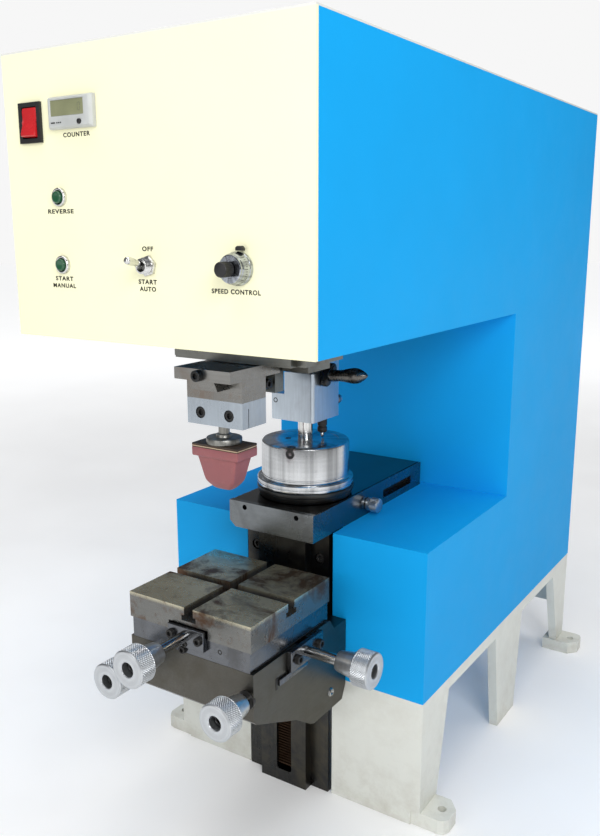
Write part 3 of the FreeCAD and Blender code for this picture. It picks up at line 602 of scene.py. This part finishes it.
# ------------------------------------------------------------ bearing plates
xp = rbox("x_bearing_block", 66.05, 71.0, 87, 140, 191, 210.45, 0.6, "saddle_steel", "knee_unit", ("x_bearing_plate",))
for i, y in enumerate((96, 132)):
    cap_screw("x_bearing_bolt_%d" % i, (75.1, y, 200.8), (-1, 0, 0), 4.5, 4.2, "knee_unit")
yp = rbox("y_bearing_block", CX - 20, CX + 20, 32.0, 36.95, 219, 237.35, 0.5, "saddle_steel", "saddle_unit", ("y_bearing_plate",))
for i, s in enumerate((-1, 1)):
    cap_screw("y_bearing_bolt_%d" % i, (CX + s * 15.5, 28.1, 229.3), (0, 1, 0), 3.9, 4.0, "saddle_unit")
lathe("y_bearing_screw", [(("hex", 1.2), 0.9), (("hex", 1.3), 0), (2.3, 0), (2.5, 0.2), (2.5, 1.4)], (CX - 1, 31.0, 221.6), (0, 1, 0), "black_steel", "saddle_unit", segs=36)

cap_screw("saddle_front_screw", (-10.0, 34.2, 213.2), (0, 1, 0), 3.6, 3.6, "saddle_unit")
lathe("saddle_set_screw", [(("hex", 1.1), 1.2), (("hex", 1.2), 0.1), (2.1, 0.0), (2.3, 0.2), (2.3, 1.2)], (31.0, 36.8, 222.0), (0, 1, 0), "black_steel", "saddle_unit", segs=36)
# thin black strip at the foot of the saddle's right side: painted shadow in the gap below the ledge
rbox("saddle_shadow_strip", 62.9, 63.3, 44, 152, 211.1, 212.4, 0.1, "black_steel", "saddle_unit", segs=1)

# ----------------------------------------------------------------- ink cup
CUP = (0, 220, 0)
rows = [(0, 323.2), (39.0, 323.2), (39.0, 323.0), (47.6, 323.0), (48.3, 323.7), (48.5, 324.4), (48.5, 326.2), (48.0, 326.6), (48.0, 327.2), (48.5, 327.6), (48.5, 330.0),
        (48.0, 330.8), (47.4, 331.2), (44.9, 331.3), (44.1, 332.0), (44.0, 333.6), (43.5, 334.0), (43.5, 335.0), (44.2, 335.5), (44.2, 365.2), (43.8, 366.6), (42.6, 367.8), (41.6, 368.0),
        (33.2, 368.0), (33.0, 367.8), (32.6, 367.8), (32.4, 368.0), (16.0, 368.0), (15.2, 367.7), (9.0, 367.7)]
ic = lathe("cup_shell", rows, (0, 220, 0), (0, 0, 1), "cup_aluminium", "cup", ("ink_cup",), segs=128, sharp=24)
rr = [(39.2, 322.9), (39.2, 312.5), (44.6, 312.35), (46.4, 312.6), (46.9, 313.4), (47.6, 318.0), (48.6, 318.6), (48.9, 319.4), (48.9, 322.2), (48.4, 322.9)]
lathe("ring_carrier", rr, (0, 220, 0), (0, 0, 1), "white_ceramic", "cup", ("doctor_ring",), segs=128, sharp=24)
a0 = math.radians(-77.0)
lathe("cup_filler_plug", [(("hex", 1.5), 2.6), (("hex", 1.5), 0.3), (2.9, 0.2), (3.7, 0.0), (4.6, 0.25), (4.7, 0.9), (4.7, 4.5)], (43.0 * math.cos(a0) * 0.94, 220 + 43.0 * math.sin(a0) * 0.94, 368.6), (0, 0, -1), "black_steel", "cup",
      segs=40)
lathe("cup_side_plug", [(("hex", 1.6), 2.0), (("hex", 1.6), 0.2), (3.9, 0.0), (4.4, 0.4), (4.4, 3.0)], (44.7 * math.cos(a0), 220 + 44.7 * math.sin(a0), 361.6), (-math.cos(a0), -math.sin(a0), 0), "black_steel", "cup",
      segs=40)
lathe("cup_small_plug", [(("hex", 1.0), 1.2), (("hex", 1.0), 0.1), (2.6, 0.0), (2.9, 0.2), (2.9, 1.2)], (-14.7, 210.5, 368.3), (0, 0, -1), "black_steel", "cup", segs=32)
sh = [(7.0, 361.2), (7.45, 361.6), (7.45, 372.4), (7.1, 372.8), (7.1, 373.8), (7.45, 374.2), (7.45, 411.0)]
lathe("pressure_shaft", sh, (0, 220, 0), (0, 0, 1), "bright_steel", "carriage", ("cup_shaft",), segs=64)
lathe("detent_body", [(3.4, 0.0), (4.6, 0.4), (4.9, 1.2), (4.9, 8.5), (4.2, 9.0), (4.2, 10.5), (4.9, 11.0), (4.9, 15.0), (3.9, 16.0)], (13.0, 231, 389.9), (0, 0, -1), "black_steel", "carriage", segs=40)
lathe("detent_tip", [(1.9, 0), (1.9, 2.6), (1.6, 4.2), (0.9, 5.2), (0, 5.5)], (13.0, 231, 374.0), (0, 0, -1), "bright_steel", "carriage", segs=32)
lathe("block_rear_collar", [(4.55, 0.2), (4.9, 0.5), (4.9, 2.6), (4.6, 3.0)], (19.4, 248.9, 405.4), (0, -1, 0), "rear_bolt", "carriage", segs=40)
lathe("block_side_screw", [(("hex", 1.4), 1.2), (("hex", 1.5), 0.0), (2.4, 0.0), (2.7, 0.3), (2.7, 1.4)], (-19.5, 195.9, 409.0), (0, 1, 0), "black_steel", "carriage", segs=30)

# ------------------------------------------------------------- clamp lever
arm = []
LVY, LVZ = 224.0, 440.0
for i in range(17):
    t = math.radians(180 * i / 16.0 - 45)
    arm.append((LVY + 6.0 * math.cos(t), LVZ + 6.0 * math.sin(t)))
for i in range(17):
    t = math.radians(180 + 180 * i / 16.0 - 45)
    arm.append((213 + 4.6 * math.cos(t), 429 + 4.6 * math.sin(t)))
prism("lever_arm", arm, "X", 24.6, 30.6, 0.9, "black_steel", "cup_lever", ("clamp_lever",), segs=3, sharp=50)
hp = [(5.3, 0.0), (5.75, 0.5), (5.9, 2.0), (5.85, 4.5), (5.55, 8.0), (5.45, 11.0), (5.8, 15.0), (6.5, 19.0), (7.25, 23.0), (7.6, 26.5), (7.4, 29.5), (6.6, 32.5), (5.3, 35.2), (3.9, 37.6), (2.4, 39.6), (1.1, 40.8), (0, 41.1)]
ht = math.radians(4.7)
lathe("lever_handle", hp, (30.7, 217, 434.8), (math.cos(ht), 0, math.sin(ht)), "handle_steel", "cup_lever", segs=72, sharp=50)
lathe("lever_pivot", [(2.9, -6.8), (2.9, 6.0), (3.6, 6.1), (3.9, 6.4), (3.6, 7.0), (0, 7.2)], (24.5, LVY, LVZ), (1, 0, 0), "black_steel", "cup_lever", segs=40)
cap_screw("guide_screw", (11.0, 142.5, 436.0), (-1, 0, 0), 4.4, 4.0, "carriage")

# --------------------------------------------------------------- pad stack


def rounded(hx, hy, rc, n=10):
    out = []
    rc = min(rc, hx - 0.01, hy - 0.01)
    for cx, cy, a in ((hx - rc, hy - rc, 0), (-hx + rc, hy - rc, 90), (-hx + rc, -hy + rc, 180), (hx - rc, -hy + rc, 270)):
        for i in range(n + 1):
            t = math.radians(a + 90.0 * i / n)
            out.append((cx + rc * math.cos(t), cy + rc * math.sin(t)))
    return out


def loft(name, rows, p, key, body, reps=(), sharp=50):
    """rows of (half x, half y, corner radius, z); ends closed"""
    bm = bmesh.new()
    loops = []
    for hx, hy, rc, z in rows:
        loops.append([bm.verts.new(P(p[0] + x, p[1] + y, z)) for x, y in rounded(hx, hy, rc)])
    for A, B in zip(loops, loops[1:]):
        n = len(A)
        for i in range(n):
            j = (i + 1) % n
            bm.faces.new((A[i], B[i], B[j], A[j]))
    for L in (loops[0], loops[-1]):
        c = bm.verts.new(sum((v.co for v in L), Vector()) / len(L))
        for i in range(len(L)):
            bm.faces.new((c, L[i], L[(i + 1) % len(L)]))
    return finish_mesh(name, bm, key, None, sharp, body, reps)


PX = -4.2
pad = [(25.2, 14.7, 1.0, 385.55), (25.4, 14.9, 1.1, 385.0), (25.35, 14.85, 1.1, 378.6), (25.1, 14.6, 1.2, 377.95), (24.5, 14.1, 1.2, 377.72),
       (21.9, 12.9, 1.5, 377.7), (21.2, 12.3, 1.7, 377.1), (20.8, 12.0, 1.9, 375.2), (19.4, 11.3, 2.1, 369.5), (18.1, 10.6, 2.3, 364.0), (16.9, 10.0, 2.5, 359.0),
       (16.0, 9.5, 2.7, 356.0), (15.3, 9.1, 3.0, 354.4), (14.2, 8.3, 3.4, 352.8), (12.6, 7.2, 3.6, 350.9), (10.8, 5.9, 3.6, 349.1), (8.8, 4.4, 3.2, 347.7), (6.6, 2.9, 2.4, 346.95), (4.0, 1.5, 1.2, 346.65)]
loft("printing_pad", pad, (PX, 94), "pink_silicone", "pad_ram", ("silicone_pad",), sharp=60)
for k, (z0, z1, h, key) in enumerate(((385.62, 386.35, 0.0, "ply_dark"), (386.38, 387.2, -0.12, "ply_light"), (387.22, 387.85, 0.05, "ply_dark"), (387.88, 389.18, 0.0, "ply_top"))):
    loft("backing_ply_%d" % k, [(25.1 + h, 14.6 + h, 0.5, z0), (25.2 + h, 14.7 + h, 0.6, z0 + 0.1), (25.2 + h, 14.7 + h, 0.6, z1 - 0.15), (25.0 + h, 14.5 + h, 0.5, z1)], (PX, 94), key, "pad_ram",
         ("pad_backing",) if k == 0 else (), sharp=40)
st = [(14.6, 389.2), (15.6, 389.5), (16.0, 390.0), (16.0, 393.9), (15.6, 394.6), (14.9, 394.9), (7.6, 394.9), (7.3, 395.3), (7.0, 397.6), (5.3, 397.9), (5.0, 398.3), (5.0, 407.6), (5.0, 419.5)]
lathe("pad_spindle", st, (PX, 94, 0), (0, 0, 1), "spindle_steel", "pad_ram", ("pad_stud",), segs=72)
first = True
for i, sx in enumerate((-15.5, 15.5)):
    cap_screw("clamp_screw_%d" % i, (sx, 76.35, 418.6), (0, 1, 0), 4.9, 4.6, "pad_ram", reps=("pad_cap_screws",) if first else (), shank=16, spin=0.2 + i)
    first = False
cap_screw("plate_lock_screw", (-3, 54.6, 454.3), (0, 1, 0), 4.9, 5.35, "pad_ram", spin=0.3)

# ---------------------------------------------------------- plate-holder knob
knurled("holder_knob", 7.5, 9.6, (63.3, 262, 296), (-1, 0, 0), "knob_aluminium", "thumb_screw", teeth=36, depth=0.35, ch=0.9, recess=0, straight=True,
        neck=[(4.4, 9.65), (4.4, 10.3), (3.0, 10.35), (3.0, 26.6)], reps=("holder_thumb_screw",))

lathe("holder_knob_collar", [(6.1, 0.0), (6.5, 0.3), (6.5, 3.1), (6.2, 3.35)], (52.75, 262, 296), (-1, 0, 0), "knob_aluminium", "thumb_screw", segs=48)

# thin black sheet at the back of the holder's side slot: painted shade that darkens the slot
rbox("holder_slot_shade_card", 39.05, 39.5, 297.2, 362.8, 292.7, 301.3, 0.1, "black_steel", "machine", segs=1)

# ------------------------------------------------------------------ screws
first = True
i = 0
for sx in (-138, 138):
    for z in (150, 330, 520, 698):
        rows = [(0.0, 1.2), (0.9, 1.15), (0.9, 0.25), (1.6, 0.05), (2.9, 0.35), (3.6, 1.0), (3.85, 1.7), (3.85, 2.15), (2.0, 2.2), (2.0, 9.8)]
        lathe("cover_screw_%d" % i, rows, (sx, 661.2, z), (0, -1, 0), "bright_steel", "machine", ("fixing_screws",) if first else (), segs=36, spin=0.4 * i)
        first = False
        i += 1
for k, (s, z) in enumerate([(a, b) for a in (-1, 1) for b in (170, 256)]):
    cap_screw("column_bolt_%d" % k, (CX + s * 38.0, 192.1, z), (0, 1, 0), 4.9, 5.4, "machine", shank=20, spin=0.5 * k)

# oiler nipple on the knee
lathe("knee_oiler", [(1.0, 1.1), (1.6, 0.4), (2.2, 0.0), (3.4, 0.0), (3.9, 0.5), (3.9, 1.2), (4.4, 1.5), (4.4, 2.2)], (68.2, 161.5, 135.5), (-1, 0, 0), "shaft_steel", "knee_unit", segs=40)
rbox("knee_gib", 65.8, 68.4, 73, 118, 184.3, 190.3, 0.5, "saddle_steel", "knee_unit")
rbox("knee_gib_end", 65.8, 66.35, 69.6, 72.8, 181.2, 192.2, 0.15, "black_steel", "knee_unit", segs=1)

# ---------------------------------------------------------------- controls
REV, STA, TG, DL = (-90.5, 599.0), (-91.0, 546.0), (1.5, 547.0), (87.0, 547.0)
first = True
for nm, (x, z), node, body in (("reverse", REV, "reverse_button_cap", "reverse_button"), ("start", STA, "start_button_cap", "start_button")):
    rows = [(5.15, 7.6), (5.15, -2.4), (5.35, -2.9), (5.8, -3.15), (6.5, -3.15), (7.1, -2.7), (7.45, -1.6), (7.5, -0.6), (7.5, -0.02), (6.0, 0.0), (6.0, 24.8)]
    bmr = lathe_bm(rows + [rows[0]], 72)
    finish_mesh(nm + "_collar", bmr, "bright_steel", axis_matrix((x, 0, z), (0, 1, 0)), 40, "machine", ("button_collars",) if first else ())
    first = False
    lathe(nm + "_cap", [(0, -4.75), (2.4, -4.85), (3.6, -5.05), (4.2, -5.0), (4.6, -4.6), (4.75, -4.0), (4.75, 4.0)], (x, 0, z), (0, 1, 0), "green_plastic", body, (node,), segs=64, sharp=60)

hexn = [(8.1 * math.cos(math.radians(60 * k + 15)), 8.1 * math.sin(math.radians(60 * k + 15))) for k in range(6)]
tgrows = [(0, 20), (5.5, 20), (5.8, 19.6), (5.8, 0.0), (7.2, 0.0), (("hex", 7.05), -0.25), (("hex", 7.1), -0.4), (("hex", 7.1), -2.2), (("hex", 6.9), -2.6), (6.6, -2.85), (5.75, -2.9)]
z = -3.2
while z > -8.2:
    tgrows += [(5.75, z), (5.35, z - 0.3), (5.75, z - 0.6)]
    z -= 0.6
tgrows += [(5.5, -8.8), (4.9, -9.0), (4.3, -9.0), (3.7, -7.4), (3.6, -3.5), (0, -3.4)]
lathe("toggle_collar", tgrows, (TG[0], 0, TG[1]), (0, 1, 0), "bright_steel", "machine", ("toggle_bushing",), segs=96, sharp=34, spin=math.radians(15))
ta = math.radians(14.0)
rows = [(0, -3.1), (1.6, -2.7), (2.7, -1.6), (3.1, 0.0), (2.7, 1.5), (1.8, 2.7), (1.85, 4.0), (2.1, 7.0), (2.6, 11.5), (3.0, 16.0), (3.1, 18.2), (3.0, 19.8), (2.5, 21.0), (1.4, 21.5), (0, 21.6)]
lathe("toggle_bat", rows, (TG[0], -3.5, TG[1]), (0, -math.cos(ta), math.sin(ta)), "bright_steel", "mode_toggle", ("toggle_lever",), segs=56, sharp=60)

rows = [(0, 21.5), (4.7, 21.5), (4.7, 0.0), (11.7, 0.0), (12.0, -0.3), (12.0, -3.0), (11.7, -3.4), (11.7, -3.9), (11.9, -4.1), (11.5, -5.0), (10.6, -9.6), (10.2, -10.2), (10.2, -10.8), (9.9, -11.5), (9.2, -12.0), (6.4, -12.0), (6.2, -11.7), (3.1, -11.7), (3.1, 0)]
lathe("dial_skirt", rows, (DL[0], 0, DL[1]), (0, 1, 0), "dial_chrome", "machine", ("dial_body",), segs=96, sharp=30)
for k in range(40):
    t = 2 * math.pi * k / 40.0
    long_ = k % 5 == 0
    r0, r1 = 11.42, 10.76 if long_ else 11.08
    a_, b_ = -5.4, -8.8 if long_ else -7.1
    bmt = bmesh.new()
    w = 0.16
    vs = []
    for rr_, yy in ((r0 + 0.03, a_), (r1 + 0.03, b_)):
        for s in (-1, 1):
            vs.append(bmt.verts.new(((rr_) * math.cos(t) / 1000 - s * w * math.sin(t) / 1000, (rr_) * math.sin(t) / 1000 + s * w * math.cos(t) / 1000, yy / 1000)))
            vs.append(bmt.verts.new(((rr_ - 0.3) * math.cos(t) / 1000 - s * w * math.sin(t) / 1000, (rr_ - 0.3) * math.sin(t) / 1000 + s * w * math.cos(t) / 1000, yy / 1000)))
    o0, i0, o1, i1, o2, i2, o3, i3 = vs
    for f in ((o0, o1, o3, o2), (i0, i2, i3, i1), (o0, o2, i2, i0), (o1, i1, i3, o3), (o0, i0, i1, o1), (o2, o3, i3, i2)):
        bmt.faces.new(f)
    finish_mesh("dial_tick_%02d" % k, bmt, "ink", axis_matrix((DL[0], 0, DL[1]), (0, 1, 0)), 30, "machine")
knurled("dial_grip", 5.4, 9.6, (DL[0], -22.7, DL[1]), (0, 1, 0), "black_plastic", "speed_dial", teeth=26, depth=0.45, ch=0.8, recess=0, straight=True,
        neck=[(4.8, 9.65), (4.8, 10.2), (2.95, 10.25), (2.95, 37.5)], reps=("dial_knob",))
prism("dial_brake_tab", [(DL[0] + 0.6, DL[1] + 12.5), (DL[0] + 6.7, DL[1] + 12.5), (DL[0] + 6.7, DL[1] + 14.3), (DL[0] + 5.4, DL[1] + 15.7), (DL[0] + 2.0, DL[1] + 15.7), (DL[0] + 0.6, DL[1] + 14.6)],
      "Y", -5.9, -1.7, 0.6, "black_plastic", "dial_brake", ("dial_lock_lever",))

# counter: bezel with a sunk window, a glass, small segments and a reset button
bm = bmesh.new()
c = (-70.0, 662.0)


def rect(x0, x1, z0, z1, y):
    return [bm.verts.new(P(x, y, z)) for x, z in ((x0, z0), (x1, z0), (x1, z1), (x0, z1))]


L = [rect(-92.1, -47.9, 651.1, 672.9, 40), rect(-92.1, -47.9, 651.1, 672.9, 0.0), rect(-94, -46, 650, 674, 0.0), rect(-94, -46, 650, 674, -3.4), rect(-92.2, -47.8, 651.6, 672.6, -5.7),
     rect(-91.6, -48.4, 652.0, 672.2, -5.95), rect(-90.6, -53.4, 658.9, 671.6, -5.95), rect(-90.0, -54.0, 659.4, 671.2, -5.5), rect(-90.0, -54.0, 659.4, 671.2, -4.7)]
bm.faces.new(L[0])
bm.faces.new(L[-1][::-1])
for A, B in zip(L, L[1:]):
    for k in range(4):
        bm.faces.new((A[k], B[k], B[(k + 1) % 4], A[(k + 1) % 4]))
case = finish_mesh("counter_bezel", bm, "grey_plastic", None, 30, "machine", ("counter_case",))
bv = case.modifiers.new("edges", "BEVEL")
bv.width = 0.0003
bv.segments = 2
rbox("counter_glass", -89.9, -54.1, -5.25, -4.75, 659.5, 671.1, 0.12, "lcd", "machine")


def seg_digit(nm, x, z, h, body="machine"):
    w = h * 0.5
    t = h * 0.09
    for k, (ax, az, bx, bz) in enumerate(((0, h, w, h), (0, 0, w, 0), (0, h / 2, 0, h), (w, h / 2, w, h), (0, 0, 0, h / 2), (w, 0, w, h / 2))):
        if ax == bx:
            rbox("%s_%d" % (nm, k), x + ax - t / 2, x + ax + t / 2, -5.32, -5.24, z + min(az, bz) + t * 0.7, z + max(az, bz) - t * 0.7, 0.02, "lcd_dark", body, segs=1)
        else:
            rbox("%s_%d" % (nm, k), x + t * 0.5, x + w - t * 0.5, -5.32, -5.24, z + az - t / 2, z + az + t / 2, 0.02, "lcd_dark", body, segs=1)


seg_digit("lcd_zero", -60.2, 662.4, 5.6)
lathe("reset_cap", [(0, -0.35), (1.2, -0.4), (1.8, -0.2), (1.95, 0.2), (1.95, 2.9)], (-58.0, -7.0, 654.2), (0, 1, 0), "black_plastic", "reset_button", ("counter_reset",), segs=36, sharp=60)
for k, (x, w) in enumerate(((-89.5, 4.6), (-83.4, 1.3), (-81.4, 1.3), (-79.4, 1.3))):
    rbox("counter_mark_%d" % k, x, x + w, -6.0, -5.9, 654.0, 655.0, 0.02, "ink", "machine", segs=1)

# rocker key: a shallow V across its width, lower end proud
kp = []
R = [(-3.0, 8.0)]
prof = [(-4.2, -11.2), (-4.95, -10.6), (-4.75, -9.0), (-3.4, -2.0), (-3.15, 0.0), (-3.4, 2.0), (-4.75, 9.0), (-4.95, 10.6), (-4.2, 11.2), (3.0, 11.1), (7.5, 3.0), (7.5, -3.0), (3.0, -11.1)]
t = math.radians(-8.0)
kp = [(1.0 + y * math.cos(t) - z * math.sin(t), 657.0 + y * math.sin(t) + z * math.cos(t)) for y, z in prof]
prism("rocker_paddle", kp, "X", -118.5 - 8.15, -118.5 + 8.15, 0.9, "red_plastic", "power_rocker", ("rocker_key",), segs=4, sharp=50)


# printed function labels, all generic words
def label(nm, text, x, z, width, h=3.5):
    cu = bpy.data.curves.new(nm, "FONT")
    cu.body = text
    cu.size = 0.0048
    cu.align_x = "CENTER"
    cu.align_y = "CENTER"
    cu.offset = 0.00015
    cu.extrude = 0.00004
    cu.space_character = 1.18
    tmp = bpy.data.objects.new(nm + "_curve", cu)
    bpy.context.scene.collection.objects.link(tmp)
    bpy.context.view_layer.update()
    me = bpy.data.meshes.new_from_object(tmp)
    bpy.data.objects.remove(tmp)
    xs = [v.co.x for v in me.vertices]
    ys = [v.co.y for v in me.vertices]
    cxm, cym = (min(xs) + max(xs)) / 2, (min(ys) + max(ys)) / 2
    fx, fy = width / 1000.0 / (max(xs) - min(xs)), h / 1000.0 / (max(ys) - min(ys))
    for v in me.vertices:
        v.co.x = (v.co.x - cxm) * fx
        v.co.y = (v.co.y - cym) * fy
    me.materials.clear()
    me.materials.append(M["ink"])
    o = bpy.data.objects.new(nm, me)
    bpy.context.scene.collection.objects.link(o)
    o.matrix_world = Matrix.Translation(P(x, -0.06, z)) @ Matrix.Rotation(math.radians(90), 4, "X")
    bpy.context.view_layer.update()
    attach(o, "machine")
    return o


label("label_counter", "COUNTER", -68.3, 645.8, 29.5)
label("label_reverse", "REVERSE", -91.0, 588.0, 29.5)
label("label_start", "START", -91.2, 534.9, 20.5)
label("label_manual", "MANUAL", -91.6, 529.2, 26.5)
label("label_off", "OFF", 1.0, 559.6, 11.0)
label("label_start_auto", "START", -0.2, 535.0, 18.5)
label("label_auto", "AUTO", -0.3, 529.6, 16.5)
label("label_speed", "SPEED CONTROL", 83.4, 530.6, 43.5)

# ----------------------------------------------------------- floor and light
fm = bpy.data.meshes.new("floor")
n = 96
fv = [(0, 0, 0)] + [(14 * math.cos(2 * math.pi * k / n), 14 * math.sin(2 * math.pi * k / n), 0) for k in range(n)]
fm.from_pydata(fv, [], [(0, k + 1, (k + 1) % n + 1) for k in range(n)])
# the floor glows with no lamp behind it, weakly beside the machine and more with distance: painted light that brightens
# the far floor
ft = M["floor"].node_tree
fb = [q for q in ft.nodes if q.type == "BSDF_PRINCIPLED"][0]
fc = ft.nodes.new("ShaderNodeTexCoord")
fl = ft.nodes.new("ShaderNodeVectorMath")
fl.operation = "LENGTH"
ft.links.new(fc.outputs["Object"], fl.inputs[0])
fr = ft.nodes.new("ShaderNodeMapRange")
fr.interpolation_type = "SMOOTHSTEP"
for key, val in (("From Min", 0.5), ("From Max", 3.4), ("To Min", 0.12), ("To Max", 0.76)):
    fr.inputs[key].default_value = val
ft.links.new(fl.outputs["Value"], fr.inputs["Value"])
fb.inputs["Emission Color"].default_value = (1, 1, 1, 1)
ft.links.new(fr.outputs["Result"], fb.inputs["Emission Strength"])
fm.materials.append(M["floor"])
floor = bpy.data.objects.new("floor", fm)
floor.location.z = -0.0004
bpy.context.scene.collection.objects.link(floor)

world = bpy.data.worlds.new("studio")
bpy.context.scene.world = world
world.use_nodes = True
wt = world.node_tree
bg = wt.nodes["Background"]
out = wt.nodes["World Output"]
bg.inputs["Color"].default_value = (0.93, 0.96, 1.0, 1)
bg.inputs["Strength"].default_value = WORLD
back = wt.nodes.new("ShaderNodeBackground")
back.inputs["Color"].default_value = (0.93, 0.93, 0.93, 1)
back.inputs["Strength"].default_value = 1.0
lp = wt.nodes.new("ShaderNodeLightPath")
mx = wt.nodes.new("ShaderNodeMixShader")
wt.links.new(lp.outputs["Is Camera Ray"], mx.inputs[0])
wt.links.new(bg.outputs[0], mx.inputs[1])
wt.links.new(back.outputs[0], mx.inputs[2])
wt.links.new(mx.outputs[0], out.inputs["Surface"])


def area(name, loc, target, size, power, color=(1, 1, 1)):
    d = bpy.data.lights.new(name, "AREA")
    d.energy = power
    d.size = size
    d.color = color
    o = bpy.data.objects.new(name, d)
    o.location = loc
    o.rotation_euler = (Vector(target) - Vector(loc)).to_track_quat("-Z", "Y").to_euler()
    bpy.context.scene.collection.objects.link(o)
    return o


area("key", (1.25, -1.35, 1.25), (0.10, -0.25, 0.58), 0.8, 18.5)
area("front", (-0.35, -2.0, 0.95), (0.0, -0.4, 0.55), 1.1, 6.5)
area("top", (-0.1, -0.3, 2.7), (0, -0.1, 0), 2.6, 58.0)
bpy.context.scene.view_settings.view_transform = "Standard"
bpy.context.scene.view_settings.look = "None"
